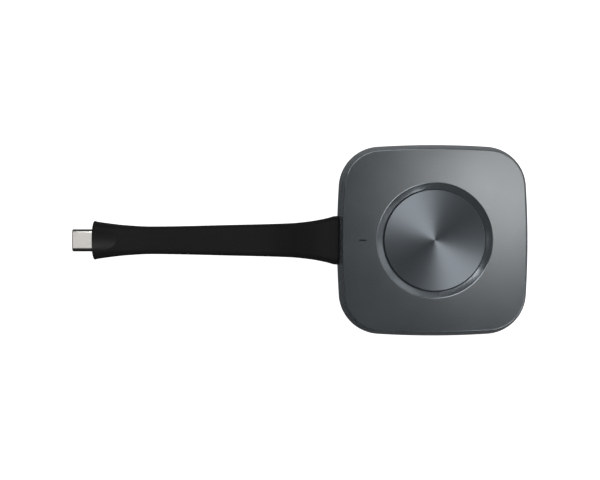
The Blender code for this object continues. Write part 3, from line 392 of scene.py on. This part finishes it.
class Looks:
    """A node material being put together around one Principled shader. Its name is its slot's."""

    def __init__(self, name, roughness, metallic=0.0, colour=(0.5, 0.5, 0.5)):
        self.name = name
        self.material = bpy.data.materials.new(name)
        self.material.use_nodes = True
        self.nodes = self.material.node_tree.nodes
        self.links = self.material.node_tree.links
        self.shader = self.nodes["Principled BSDF"]
        self.shader.inputs["Roughness"].default_value = roughness
        self.shader.inputs["Metallic"].default_value = metallic
        self.shader.inputs["Base Color"].default_value = (*colour, 1)
        self.material.diffuse_color = (*colour, 1)

    def add(self, kind, **settings):
        node = self.nodes.new(f"ShaderNode{kind}")
        for key, value in settings.items():
            setattr(node, key, value)
        return node

    def link(self, source, target):
        self.links.new(source, target)

    def place(self, stretch=(1, 1, 1)):
        """Position in metres in the object's own space, stretched for grain that runs one way."""
        where = self.add("TexCoord")
        mapping = self.add("Mapping")
        mapping.inputs["Scale"].default_value = stretch
        self.link(where.outputs["Object"], mapping.inputs["Vector"])
        return mapping.outputs["Vector"]

    def noise(self, vector, scale, detail=2.0, roughness=0.5):
        node = self.add("TexNoise")
        node.inputs["Scale"].default_value = scale
        node.inputs["Detail"].default_value = detail
        node.inputs["Roughness"].default_value = roughness
        self.link(vector, node.inputs["Vector"])
        return node.outputs["Fac"]

    def math(self, operation, first, second=None):
        node = self.add("Math", operation=operation)
        for socket, value in zip(node.inputs, (first, second)):
            if value is None:
                continue
            if isinstance(value, (int, float)):
                socket.default_value = value
            else:
                self.link(value, socket)
        return node.outputs["Value"]

    def spread(self, value, from_low, from_high, to_low, to_high):
        node = self.add("MapRange")
        for key, number in (
            ("From Min", from_low), ("From Max", from_high), ("To Min", to_low), ("To Max", to_high),
        ):
            node.inputs[key].default_value = number
        self.link(value, node.inputs["Value"])
        return node.outputs["Result"]

    def colour_between(self, factor, dark, light):
        node = self.add("Mix", data_type="RGBA")
        colours = {"A": dark, "B": light}
        for socket in node.inputs:
            if socket.type == "RGBA":
                socket.default_value = (*colours[socket.name], 1)
        self.link(factor, node.inputs["Factor"])
        return next(socket for socket in node.outputs if socket.type == "RGBA")

    def bump(self, height, strength, distance):
        node = self.add("Bump")
        node.inputs["Strength"].default_value = strength
        node.inputs["Distance"].default_value = distance
        self.link(height, node.inputs["Height"])
        self.link(node.outputs["Normal"], self.shader.inputs["Normal"])


def scaled(colour, factor):
    return tuple(min(1.0, channel * factor) for channel in colour)


def grained(
    name, colour, roughness, metallic=0.0, grain=3000, spread=0.12, bump=0.2, depth=0.02 * MM,
    stretch=(1, 1, 1),
):
    """A moulded, painted or rolled surface: colour, gloss and height vary with a fine grain."""
    looks = Looks(name, roughness, metallic, colour)
    place = looks.place(stretch)
    fine = looks.noise(place, grain, 3.0)
    broad = looks.noise(place, 60, 2.0)
    mixed = looks.math("ADD", looks.math("MULTIPLY", fine, 0.75), looks.math("MULTIPLY", broad, 0.25))
    factor = looks.spread(mixed, 0.35, 0.65, 0.0, 1.0)
    tint = looks.colour_between(factor, scaled(colour, 1 - spread), scaled(colour, 1 + spread))
    looks.link(tint, looks.shader.inputs["Base Color"])
    rough = looks.spread(mixed, 0.35, 0.65, roughness * 0.88, roughness * 1.12)
    looks.link(rough, looks.shader.inputs["Roughness"])
    looks.bump(fine, bump, depth)
    return looks


def cover_paint():
    """Fine metallic paint: flakes glint on the top face, and the steep walls look even."""
    colour = (0.182, 0.205, 0.224)
    looks = Looks("cover_paint", 0.13, 0.62, colour)
    place = looks.place()
    facing = looks.add("SeparateXYZ")
    looks.link(looks.add("NewGeometry").outputs["True Normal"], facing.inputs["Vector"])
    level = looks.spread(looks.math("ABSOLUTE", facing.outputs["Z"]), 0.5, 0.95, 0.0, 1.0)
    flakes = looks.noise(place, 3800, 3.0)
    glint = looks.math("MULTIPLY", looks.math("SUBTRACT", flakes, 0.5), level)
    broad = looks.math("SUBTRACT", looks.noise(place, 60, 2.0), 0.5)
    mixed = looks.math("ADD", glint, looks.math("MULTIPLY", broad, 0.2))
    factor = looks.spread(mixed, -0.2, 0.2, 0.0, 1.0)
    tint = looks.colour_between(factor, scaled(colour, 0.72), scaled(colour, 1.28))
    looks.link(tint, looks.shader.inputs["Base Color"])
    looks.link(looks.spread(mixed, -0.2, 0.2, 0.115, 0.145), looks.shader.inputs["Roughness"])
    looks.bump(glint, 0.9, 0.01 * MM)
    return looks


def strap_rubber():
    """Soft black rubber with a fine matt grain. The thumb scoop is moulded smoother and carries a painted
    highlight.
    """
    colour = (0.012, 0.012, 0.012)
    looks = Looks("strap_rubber", 0.6, 0.0, colour)
    looks.shader.inputs["Specular IOR Level"].default_value = 0.18
    from_centre = looks.add("Mapping")
    looks.link(looks.place(), from_centre.inputs["Vector"])
    from_centre.inputs["Scale"].default_value = [1 / half for half in SCOOP_HALF]
    from_centre.inputs["Location"].default_value = (
        -SCOOP_CENTRE[0] / SCOOP_HALF[0], 0, -SCOOP_CENTRE[1] / SCOOP_HALF[2],
    )
    reach = looks.add("VectorMath", operation="LENGTH")
    looks.link(from_centre.outputs["Vector"], reach.inputs[0])
    inside = looks.spread(reach.outputs["Value"], 1.03, 1.0, 0.0, 1.0)
    fine = looks.noise(looks.place(), 3600, 3.0)
    # Painted highlight: the scoop's colour is painted up to about twice as light, standing in for light on
    # its slope
    grain_and_scoop_highlight = looks.math("ADD", looks.spread(fine, 0.35, 0.65, 0.0, 0.4), looks.math("MULTIPLY", inside, 0.6))
    tint = looks.colour_between(grain_and_scoop_highlight, scaled(colour, 0.75), scaled(colour, 2.2))
    looks.link(tint, looks.shader.inputs["Base Color"])
    matt = looks.spread(fine, 0.35, 0.65, 0.55, 0.65)
    rough = looks.math("SUBTRACT", matt, looks.math("MULTIPLY", inside, 0.25))
    looks.link(rough, looks.shader.inputs["Roughness"])
    grain = looks.math("MULTIPLY", fine, looks.math("SUBTRACT", 1.0, inside))
    looks.bump(grain, 0.45, 0.03 * MM)
    return looks


def spun_metal():
    """A lathe-turned disc: fine rings about its middle, which gather the light into two opposite wedges."""
    colour = (0.18, 0.201, 0.22)
    looks = Looks("spun_metal", 0.3, 1.0, colour)
    split = looks.add("SeparateXYZ")
    looks.link(looks.place(), split.inputs["Vector"])
    squares = [looks.math("MULTIPLY", split.outputs[axis], split.outputs[axis]) for axis in "XY"]
    radius = looks.math("SQRT", looks.math("ADD", *squares))
    line = looks.add("CombineXYZ")
    looks.link(radius, line.inputs["X"])
    rings = looks.noise(line.outputs["Vector"], 3200, 4.0, 0.7)
    factor = looks.spread(rings, 0.3, 0.7, 0.0, 1.0)
    tint = looks.colour_between(factor, scaled(colour, 0.93), scaled(colour, 1.07))
    looks.link(tint, looks.shader.inputs["Base Color"])
    looks.link(looks.spread(rings, 0.3, 0.7, 0.36, 0.44), looks.shader.inputs["Roughness"])
    looks.shader.inputs["Anisotropic"].default_value = 0.85
    looks.shader.inputs["Anisotropic Rotation"].default_value = 0.25
    tangent = looks.add("Tangent", direction_type="RADIAL", axis="Z")
    looks.link(tangent.outputs["Tangent"], looks.shader.inputs["Tangent"])
    looks.bump(rings, 0.25, 0.02 * MM)
    return looks


def make_materials():
    """One look for each material slot, under the slot's name."""
    looks = [
        cover_paint(),
        grained("base_plastic", (0.06, 0.062, 0.065), 0.5, metallic=0.2, grain=3500, bump=0.3),
        grained(
            "foot_rubber", (0.02, 0.02, 0.021), 0.85,
            grain=2500, spread=0.2, bump=0.5, depth=0.04 * MM,
        ),
        grained("label_film", (0.3, 0.31, 0.32), 0.42, grain=1800, spread=0.06, bump=0.15, depth=0.01 * MM),
        grained("inner_plastic", (0.03, 0.03, 0.032), 0.55, bump=0.3, depth=0.03 * MM),
        spun_metal(),
        grained("silicone", (0.12, 0.12, 0.12), 0.75, grain=1500, spread=0.1),
        grained("switch_plastic", (0.04, 0.04, 0.045), 0.4, grain=4000),
        grained("stem_plastic", (0.7, 0.7, 0.67), 0.4, grain=4000, spread=0.05),
        grained("board", (0.02, 0.12, 0.06), 0.35, grain=900, spread=0.25, bump=0.15, depth=0.01 * MM),
        grained("chip", (0.03, 0.03, 0.03), 0.5, grain=6000, spread=0.2, bump=0.3, depth=0.01 * MM),
        grained("ferrite", (0.12, 0.12, 0.12), 0.7, grain=5000, spread=0.25, bump=0.5, depth=0.03 * MM),
        grained("thermal_silicone", (0.4, 0.46, 0.58), 0.8, grain=2500, spread=0.08),
        grained(
            "sheet_aluminium", (0.72, 0.72, 0.72), 0.35, metallic=1,
            grain=1500, spread=0.06, depth=0.01 * MM, stretch=(1, 12, 12),
        ),
        grained(
            "tinned_steel", (0.7, 0.7, 0.69), 0.3, metallic=1,
            grain=1500, spread=0.06, bump=0.1, depth=0.01 * MM,
        ),
        grained("led_lens", (0.85, 0.85, 0.8), 0.3, spread=0.03),
        grained(
            "clear_plastic", (0.01, 0.01, 0.011), 0.35,
            grain=2000, spread=0.1, bump=0.05, depth=0.01 * MM,
        ),
        grained(
            "contact_metal", (0.83, 0.62, 0.25), 0.3, metallic=1,
            spread=0.06, bump=0.1, depth=0.01 * MM,
        ),
        strap_rubber(),
        grained("cable_jacket", (0.03, 0.03, 0.03), 0.5),
        grained("inner_mould", (0.03, 0.03, 0.03), 0.6),
        grained("connector_plastic", (0.78, 0.76, 0.7), 0.45, spread=0.05),
        grained(
            "plug_steel", (0.78, 0.755, 0.72), 0.16, metallic=1,
            grain=1600, spread=0.04, bump=0.02, depth=0.01 * MM, stretch=(0.2, 1, 1),
        ),
        grained("plug_plastic", (0.02, 0.02, 0.02), 0.45),
        grained("screw_steel", (0.25, 0.25, 0.26), 0.35, metallic=1, grain=2500, depth=0.01 * MM),
        grained(
            "spring_steel", (0.6, 0.6, 0.6), 0.3, metallic=1,
            grain=2500, spread=0.06, bump=0.1, depth=0.01 * MM,
        ),
    ]
    return {look.name: look.material for look in looks}


# --- Pieces --------------------------------------------------------------------------------------------


def stand_in(piece, node, body):
    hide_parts(node)
    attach(piece, body)
    return piece


def post_places():
    return [(sx * POST_CENTRE, sy * POST_CENTRE) for sx, sy in ((1, 1), (-1, 1), (-1, -1), (1, -1))]


def mirrored(pair, side):
    return sorted(side * value for value in pair)


def add_ribs(mesh, low_z, high_z):
    """The two ribs that hold the strap's anchor."""
    for side_y in (-1, 1):
        ys = mirrored(RIB_Y, side_y)
        add_box(mesh, (RIB_X[0], ys[0], low_z), (RIB_X[1], ys[1], high_z))


def cable_opening():
    mesh = bmesh.new()
    half_y = CABLE_OPENING_HALF_Y
    low_z, high_z = CABLE_OPENING_Z
    add_box(mesh, (-PUCK_HALF - CLEAR, -half_y, low_z), (ANCHOR_LOW.x + OPENING_DEPTH, half_y, high_z))
    return mesh


def well_profile():
    """(r, z) points from the top face over the cone, down the well and up behind its collar."""
    cone_slope = CONE_DEPTH / (CONE_RADIUS - WELL_RADIUS)
    cone_deg = math.degrees(math.atan(cone_slope))
    roll_end = CONE_RADIUS + CONE_ROLL * math.tan(math.radians(cone_deg / 2))
    cone_z = PUCK_HEIGHT - CONE_DEPTH
    profile = [(roll_end + FLAT_EDGE, PUCK_HEIGHT)]
    profile += arc_points((roll_end, PUCK_HEIGHT - CONE_ROLL), CONE_ROLL, 90, 90 + cone_deg, 5)
    profile += [(WELL_RADIUS + CONE_BREAK, cone_z + CONE_BREAK * cone_slope)]
    profile += [(WELL_MOUTH + MOUTH_BREAK, cone_z), (WELL_MOUTH, cone_z - MOUTH_BREAK)]
    profile += [(WELL_MOUTH, cone_z - MOUTH_DEPTH[0]), (WELL_RADIUS, cone_z - MOUTH_DEPTH[1])]
    profile += [(WELL_RADIUS, COLLAR_END_Z), (COLLAR_RADIUS, COLLAR_END_Z), (COLLAR_RADIUS, CEILING)]
    return profile


def make_top_cover(material):
    rabbet_z = SEAM_Z + LIP_HEIGHT + GAP
    edge_z = PUCK_HEIGHT - EDGE_BEVEL
    wall_z = RIM_Z + SEAM_BREAK
    rings = [at_height(puck_outline(LIP_INSET - GAP), RIM_Z)]
    rings.append(at_height(puck_outline(SEAM_BREAK), RIM_Z))
    for i in range(TOP_WALL_LEVELS + 1):
        z = wall_z + (edge_z - wall_z) * i / TOP_WALL_LEVELS
        rings.append(at_height(puck_outline(wall_inset(z)), z))
    for inset, z in arc_points((WALL_LEAN + EDGE_BEVEL, edge_z), EDGE_BEVEL, 180, 90, 5)[1:]:
        rings.append(at_height(puck_outline(inset), z))
    rings.append(at_height(puck_outline(WALL_LEAN + EDGE_BEVEL + RIM_FLAT), PUCK_HEIGHT))
    rings += [at_height(matched_circle(radius), z) for radius, z in well_profile()]
    for z in (CEILING, INNER_LEVEL, rabbet_z):
        rings.append(at_height(puck_outline(WALL + wall_inset(z)), z))
    rings.append(at_height(puck_outline(LIP_INSET - GAP), rabbet_z))
    cover = make_piece("cover_shell", loft(rings, join_ends=True), material)

    added = bmesh.new()
    into_roof = CEILING + OVERLAP
    for place in post_places():
        add_loft(added, [at_height(circle(POST_RADIUS), z, place) for z in (POST_LOW_Z, into_roof)])
    for side_y in (-1, 1):
        for side_x in (-1, 1):
            xs, ys = mirrored(RAIL_X, side_x), mirrored(RAIL_Y, side_y)
            add_box(added, (xs[0], ys[0], RAIL_LOW_Z), (xs[1], ys[1], into_roof))
    add_ribs(added, RIB_LOW_Z, into_roof)
    combine(cover, "UNION", added)
    cut = bmesh.new()
    for place in post_places():
        add_loft(cut, [at_height(circle(SCREW_HOLE), z, place) for z in POST_HOLE_Z])
    slit_x = sum(corner.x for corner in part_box("status_led")) / 2
    slit = rounded_rectangle(*SLIT_HALF, SLIT_CORNER)
    add_loft(cut, [at_height(slit, z, (slit_x, 0)) for z in (CEILING - CLEAR, PUCK_HEIGHT + CLEAR)])
    combine(cover, "DIFFERENCE", cut)
    combine(cover, "DIFFERENCE", cable_opening())
    return stand_in(cover, "top_cover", "housing")


def make_bottom_cover(material):
    lip_z = BASE_HIGH.z
    rim_z = SEAM_Z - GAP / 2
    wall_z = rim_z - SEAM_BREAK
    rings = []
    for i in range(BASE_WALL_LEVELS + 1):
        z = BASE_Z + (wall_z - BASE_Z) * i / BASE_WALL_LEVELS
        rings.append(at_height(puck_outline(wall_inset(z)), z))
    rings.append(at_height(puck_outline(SEAM_BREAK), rim_z))
    rings.append(at_height(puck_outline(LIP_INSET), rim_z))
    rings.append(at_height(puck_outline(LIP_INSET), lip_z))
    rings.append(at_height(puck_outline(WALL), lip_z))
    rings.append(at_height(puck_outline(WALL), rim_z))
    rings.append(at_height(puck_outline(WALL + wall_inset(FLOOR_TOP)), FLOOR_TOP))
    base = make_piece("base_shell", loft(rings), material)

    screws = [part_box(f"board_screw_{number}") for number in (1, 2, 3)]
    screw_places = [((low.x + high.x) / 2, (low.y + high.y) / 2) for low, high in screws]
    into_floor = FLOOR_TOP - OVERLAP
    added = bmesh.new()
    for places, (radius, top_z) in ((post_places(), BASE_BOSS), (screw_places, BOARD_BOSS)):
        for place in places:
            add_loft(added, [at_height(circle(radius), z, place) for z in (into_floor, top_z)])
    add_ribs(added, into_floor, RIB_HIGH_Z)
    combine(base, "UNION", added)
    cut = bmesh.new()
    recess = puck_outline(PUCK_HALF - PAD_HIGH.x - GAP)
    recess_z = PAD_HIGH.z + GAP
    add_loft(cut, [at_height(recess, z) for z in (BASE_Z - CLEAR, recess_z)])
    for place in screw_places:
        add_loft(cut, [at_height(circle(SCREW_HOLE), z, place) for z in (FLOOR_TOP, BOARD_HOLE_TOP_Z)])
    combine(base, "DIFFERENCE", cut)
    combine(base, "DIFFERENCE", cable_opening())
    bored = bmesh.new()
    bore = [(HEAD_HOLE, recess_z - OVERLAP), (HEAD_HOLE, FLOOR_TOP)]
    bore += [(SCREW_HOLE, FLOOR_TOP), (SCREW_HOLE, BASE_BOSS[1] + CLEAR)]
    for place in post_places():
        add_loft(bored, [at_height(circle(radius), z, place) for radius, z in bore])
    combine(base, "DIFFERENCE", bored)
    return stand_in(base, "bottom_cover", "housing")


def make_disc(material):
    radius, edge = DISC_HIGH.x, DISC_EDGE
    profile = [(DISC_MIDDLE, DISC_LOW.z), (radius, DISC_LOW.z)]
    profile += arc_points((radius - edge, DISC_HIGH.z - edge), edge, 0, 90, 4)
    profile += [(radius - 2 * edge, DISC_HIGH.z), (DISC_MIDDLE, DISC_HIGH.z)]
    disc = make_piece("button_disc", loft([at_height(circle(r, 192), z) for r, z in profile]), material)
    return stand_in(disc, "button_plate", "button")


def make_springs(material):
    """Three coils between the spring carrier and the button."""
    steps = round(SPRING_TURNS * SPRING_STEPS_PER_TURN)
    for number in (1, 2, 3):
        low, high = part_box(f"return_spring_{number}")
        rise = high.z - low.z - 2 * SPRING_WIRE
        seat = math.radians(FIRST_SPRING_DEG + 120 * (number - 1))
        seat_x, seat_y = SPRING_CIRCLE * math.cos(seat), SPRING_CIRCLE * math.sin(seat)
        rings = []
        for i in range(steps + 1):
            turn = 2 * math.pi * i / SPRING_STEPS_PER_TURN
            outward = Vector((math.cos(turn), math.sin(turn), 0))
            middle = Vector((seat_x, seat_y, low.z + SPRING_WIRE + rise * i / steps))
            wire = circle(SPRING_WIRE, 12)
            rings.append([
                middle + outward * (SPRING_RADIUS + across) + Vector((0, 0, up)) for across, up in wire
            ])
        spring = make_piece(f"coil_{number}", loft(rings), material, WIRE_SHARP_DEG)
        stand_in(spring, f"return_spring_{number}", "housing")
        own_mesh(spring)


def make_foot_pad(material):
    inset = PUCK_HALF - PAD_HIGH.x
    rings = [at_height(puck_outline(inset + PAD_BEVEL), 0)]
    rings += [at_height(puck_outline(inset), z) for z in (PAD_BEVEL, PAD_HIGH.z)]
    pad = make_piece("pad_moulding", loft(rings), material)
    recess = rounded_rectangle(LABEL_HIGH.x + GAP, LABEL_HIGH.y + GAP, LABEL_CORNER + GAP, 10)
    combine(pad, "DIFFERENCE", loft([at_height(recess, z) for z in (-CLEAR, LABEL_RECESS)]))
    return stand_in(pad, "foot_pad", "housing")


def flat_section(half_width, half_thick):
    return rounded_rectangle(half_width, half_thick, SECTION_CORNER * half_thick, 8, 12)


def strap_outline(x):
    width = smooth_value(STRAP_WIDTH, x)
    thickness = smooth_value(STRAP_THICKNESS, x)
    return flat_section(width / 2, thickness / 2)


def strap_end_rings():
    """The end face bows out in the middle, and its edge is rounded."""
    rings = []
    for turn in evenly(0, math.pi / 2, 6):
        x = STRAP_END_X + STRAP_END_ROLL * (1 - math.sin(turn))
        inset = STRAP_END_ROLL * (1 - math.cos(turn))
        half_width = smooth_value(STRAP_WIDTH, x) / 2 - inset
        half_thick = smooth_value(STRAP_THICKNESS, x) / 2 - inset
        outline = flat_section(half_width, half_thick)
        rings.append([(x + STRAP_END_BOW * (y / half_width) ** 2, y, z + PLUG_Z) for y, z in outline])
    return rings


def make_strap(material):
    root_z = smooth_value(LEAD_ROUTE, STRAP_ROOT_X)
    rings = [[(wall_x(y, root_z + z) - GAP, y, root_z + z) for y, z in strap_outline(STRAP_ROOT_X)]]
    for x in evenly(STRAP_ROOT_X - 1.2 * MM, STRAP_END_X + 1.6 * MM, STRAP_STATIONS):
        rings.append(section_ring(x, strap_outline(x)))
    rings += strap_end_rings()
    strap = make_piece("lead_strap", loft(rings), material)

    scoop = bmesh.new()
    bmesh.ops.create_uvsphere(scoop, u_segments=86, v_segments=43, radius=1.0)
    bmesh.ops.scale(scoop, verts=scoop.verts, vec=SCOOP_HALF)
    bmesh.ops.translate(scoop, verts=scoop.verts, vec=(SCOOP_CENTRE[0], 0, SCOOP_CENTRE[1]))
    combine(strap, "DIFFERENCE", scoop, STRAP_SHARP_DEG)
    bore = circle(CHANNEL_RADIUS, 20)
    stations = evenly(STRAP_ROOT_X + 2.0 * MM, CAN_HIGH.x - JOIN, ROUTE_STATIONS)
    combine(strap, "DIFFERENCE", loft([section_ring(x, bore) for x in stations]), STRAP_SHARP_DEG)
    pocket = rounded_rectangle(CAN_HIGH.y + GAP, POCKET_HALF_Z, POCKET_CORNER)
    ends = (CAN_LOW.x - GAP, CAN_HIGH.x + GAP)
    combine(strap, "DIFFERENCE", loft([upright_ring(x, pocket, PLUG_Z) for x in ends]), STRAP_SHARP_DEG)
    mouth = stadium(SHELL_HIGH.y + MOUTH_GAP, SHELL_HIGH.z - PLUG_Z + MOUTH_GAP)
    ends = (STRAP_END_X - CLEAR, CAN_LOW.x + JOIN)
    combine(strap, "DIFFERENCE", loft([upright_ring(x, mouth, PLUG_Z) for x in ends]), STRAP_SHARP_DEG)
    return stand_in(strap, "cable_strap", "housing")


def make_plug_shell(material):
    half_y, half_z = SHELL_HIGH.y, (SHELL_HIGH.z - SHELL_LOW.z) / 2
    nose, back = SHELL_LOW.x, SHELL_HIGH.x
    roll, wall = NOSE_ROLL, PLUG_WALL
    # Each ring is x, and how far it stands in across and up
    steps = [(back, 0, 0)]
    for turn in evenly(0, math.pi / 2, 7):
        inset = roll * (1 - math.cos(turn))
        steps.append((nose + roll * (1 - math.sin(turn)), inset, 0.6 * inset))
    steps.append((nose, roll + 0.1 * MM, 0.28 * MM))
    steps.append((nose + 0.25 * MM, roll + 0.15 * MM, 0.3 * MM))
    steps += [(nose + 0.4 * MM, wall, wall), (back, wall, wall)]
    rings = [upright_ring(x, stadium(half_y - across, half_z - up), PLUG_Z) for x, across, up in steps]
    shell = make_piece("plug_sleeve", loft(rings, join_ends=True), material)
    return stand_in(shell, "usb_shell", "housing")


# --- Stage ---------------------------------------------------------------------------------------------

CAMERA_PLACE = (-48.55 * MM, 0.1 * MM, 490 * MM)
CAMERA_LENS = 79.2

# The key: its discs, as diameter and radiance, add up to a light that fades towards its rim
KEY_PLACE = (0.177, 0.055, 1.0)
KEY_TARGET = (0.025, 0.018, PUCK_HEIGHT)
KEY_DISCS = ((0.1, 1.9), (0.18, 1.1), (0.27, 0.6))
KEY_COLOUR = (1.0, 0.93, 0.87)

# The two opposite lights that draw the disc's bright wedges
DISC_LIGHTS = (("upper_left", (-0.13, 0.317, 1.0)), ("lower_right", (0.344, -0.317, 1.0)))
DISC_LIGHT_SIZE = (0.45, 0.32)
DISC_LIGHT_RADIANCE = 5.0

# The card that the plug's steel reflects
CARD_PLACE = (-0.36, 0.0, 1.0)
CARD_TARGET = (-0.1285, 0, PLUG_Z)
CARD_SIZE = (0.12, 0.24)
CARD_RADIANCE = 0.87

# The windows, as bearing in degrees from +X and radiance
WINDOWS = ((-2, 0.42), (33, 0.5), (68, 0.45))
WINDOW_SIZE = (0.72, 0.42)
WINDOW_REACH = 0.707
WINDOW_Z = 0.722

# The dome's brightness: below the horizon it grows along the slope, and above it fades to the top's
DOME_SLOPE = (0.13, 0.22, 0)
DOME_LOW = 0.11
DOME_TOP = 0.03
BACKDROP = 1.06


def make_camera():
    data = bpy.data.cameras.new("camera")
    data.lens = CAMERA_LENS
    data.sensor_width = 36.0
    data.clip_start = 0.01
    camera = bpy.data.objects.new("camera", data)
    camera.location = CAMERA_PLACE
    bpy.context.scene.collection.objects.link(camera)
    bpy.context.scene.camera = camera


def add_light(name, place, target, size, radiance, colour=(1, 1, 1), shape="RECTANGLE"):
    """A soft light of the given radiance. Its first size is level, its second runs along its tilt."""
    data = bpy.data.lights.new(name, "AREA")
    data.shape = shape
    data.size, data.size_y = size
    fill = math.pi / 4 if shape == "ELLIPSE" else 1.0
    data.energy = radiance * math.pi * size[0] * size[1] * fill
    data.color = colour
    light = bpy.data.objects.new(name, data)
    light.location = place
    direction = Vector(target) - Vector(place)
    light.rotation_euler = direction.to_track_quat("-Z", "Y").to_euler()
    bpy.context.scene.collection.objects.link(light)
    return light


def add_key(disc):
    """A round light that fades towards its rim. It leaves the disc to the disc's own two lights."""
    skipped = bpy.data.collections.new("without_key")
    skipped.objects.link(disc)
    skipped.collection_objects[0].light_linking.link_state = "EXCLUDE"
    for number, (diameter, radiance) in enumerate(KEY_DISCS, 1):
        place = Vector(KEY_PLACE) + Vector((0, 0, 0.01 * number))
        size = (diameter, diameter)
        light = add_light(f"key_{number}", place, KEY_TARGET, size, radiance, KEY_COLOUR, "ELLIPSE")
        light.light_linking.receiver_collection = skipped


def make_floor():
    mesh = bmesh.new()
    bmesh.ops.create_grid(mesh, x_segments=2, y_segments=2, size=2.0)
    looks = grained("floor_white", (0.9, 0.9, 0.9), 0.9, grain=40, spread=0.01, bump=0.02, depth=0.1 * MM)
    looks.shader.inputs["Emission Color"].default_value = (1, 1, 1, 1)
    looks.shader.inputs["Emission Strength"].default_value = 1.0
    floor = make_piece("floor", mesh, looks.material)
    floor.location = (0, 0, -0.1 * MM)
    floor.visible_glossy = False


def make_stage(disc):
    make_floor()
    puck_top = (0, 0, PUCK_HEIGHT)
    add_key(disc)
    for name, place in DISC_LIGHTS:
        add_light(name, place, puck_top, DISC_LIGHT_SIZE, DISC_LIGHT_RADIANCE)
    for number, (bearing, radiance) in enumerate(WINDOWS, 1):
        turn = math.radians(bearing)
        place = (WINDOW_REACH * math.cos(turn), WINDOW_REACH * math.sin(turn), WINDOW_Z)
        add_light(f"window_{number}", place, puck_top, WINDOW_SIZE, radiance)
    add_light("plug_card", CARD_PLACE, CARD_TARGET, CARD_SIZE, CARD_RADIANCE)
    make_dome()


def make_dome():
    """Dark studio dome with a pale backdrop. Its lower half is lighter towards +X and +Y."""
    world = bpy.data.worlds.new("studio")
    world.use_nodes = True
    nodes, links = world.node_tree.nodes, world.node_tree.links
    where = nodes.new("ShaderNodeTexCoord")
    side = nodes.new("ShaderNodeVectorMath")
    side.operation = "DOT_PRODUCT"
    side.inputs[1].default_value = DOME_SLOPE
    links.new(where.outputs["Generated"], side.inputs[0])
    below = nodes.new("ShaderNodeMath")
    below.operation = "ADD"
    below.use_clamp = True
    below.inputs[1].default_value = DOME_LOW
    links.new(side.outputs["Value"], below.inputs[0])
    split = nodes.new("ShaderNodeSeparateXYZ")
    links.new(where.outputs["Generated"], split.inputs["Vector"])
    level = nodes.new("ShaderNodeMapRange")
    level.inputs["From Min"].default_value = -0.2
    level.inputs["From Max"].default_value = 0.35
    level.inputs["To Max"].default_value = DOME_TOP
    links.new(split.outputs["Z"], level.inputs["Value"])
    links.new(below.outputs["Value"], level.inputs["To Min"])
    seen = nodes.new("ShaderNodeLightPath")
    backdrop = nodes.new("ShaderNodeMix")
    backdrop.inputs["B"].default_value = BACKDROP
    links.new(seen.outputs["Is Camera Ray"], backdrop.inputs["Factor"])
    links.new(level.outputs["Result"], backdrop.inputs["A"])
    background = nodes["Background"]
    background.inputs["Color"].default_value = (0.95, 0.98, 1.0, 1)
    links.new(backdrop.outputs["Result"], background.inputs["Strength"])
    bpy.context.scene.world = world
    bpy.context.scene.view_settings.view_transform = "Standard"


# --- Assembly ------------------------------------------------------------------------------------------


def dress_frame(materials):
    """Gives every CAD node the look of its material slot."""
    slots = {part["node"]: part["material_slot"] for part in frame["record"]["subparts"]}
    for node, obj in frame["nodes"].items():
        obj.data.materials.clear()
        obj.data.materials.append(materials[slots[node]])


make_camera()
materials = make_materials()
dress_frame(materials)
strap = make_strap(materials["strap_rubber"])
plug = make_plug_shell(materials["plug_steel"])
make_top_cover(materials["cover_paint"])
make_bottom_cover(materials["base_plastic"])
disc = make_disc(materials["spun_metal"])
make_foot_pad(materials["foot_rubber"])
make_springs(materials["spring_steel"])
make_stage(disc)
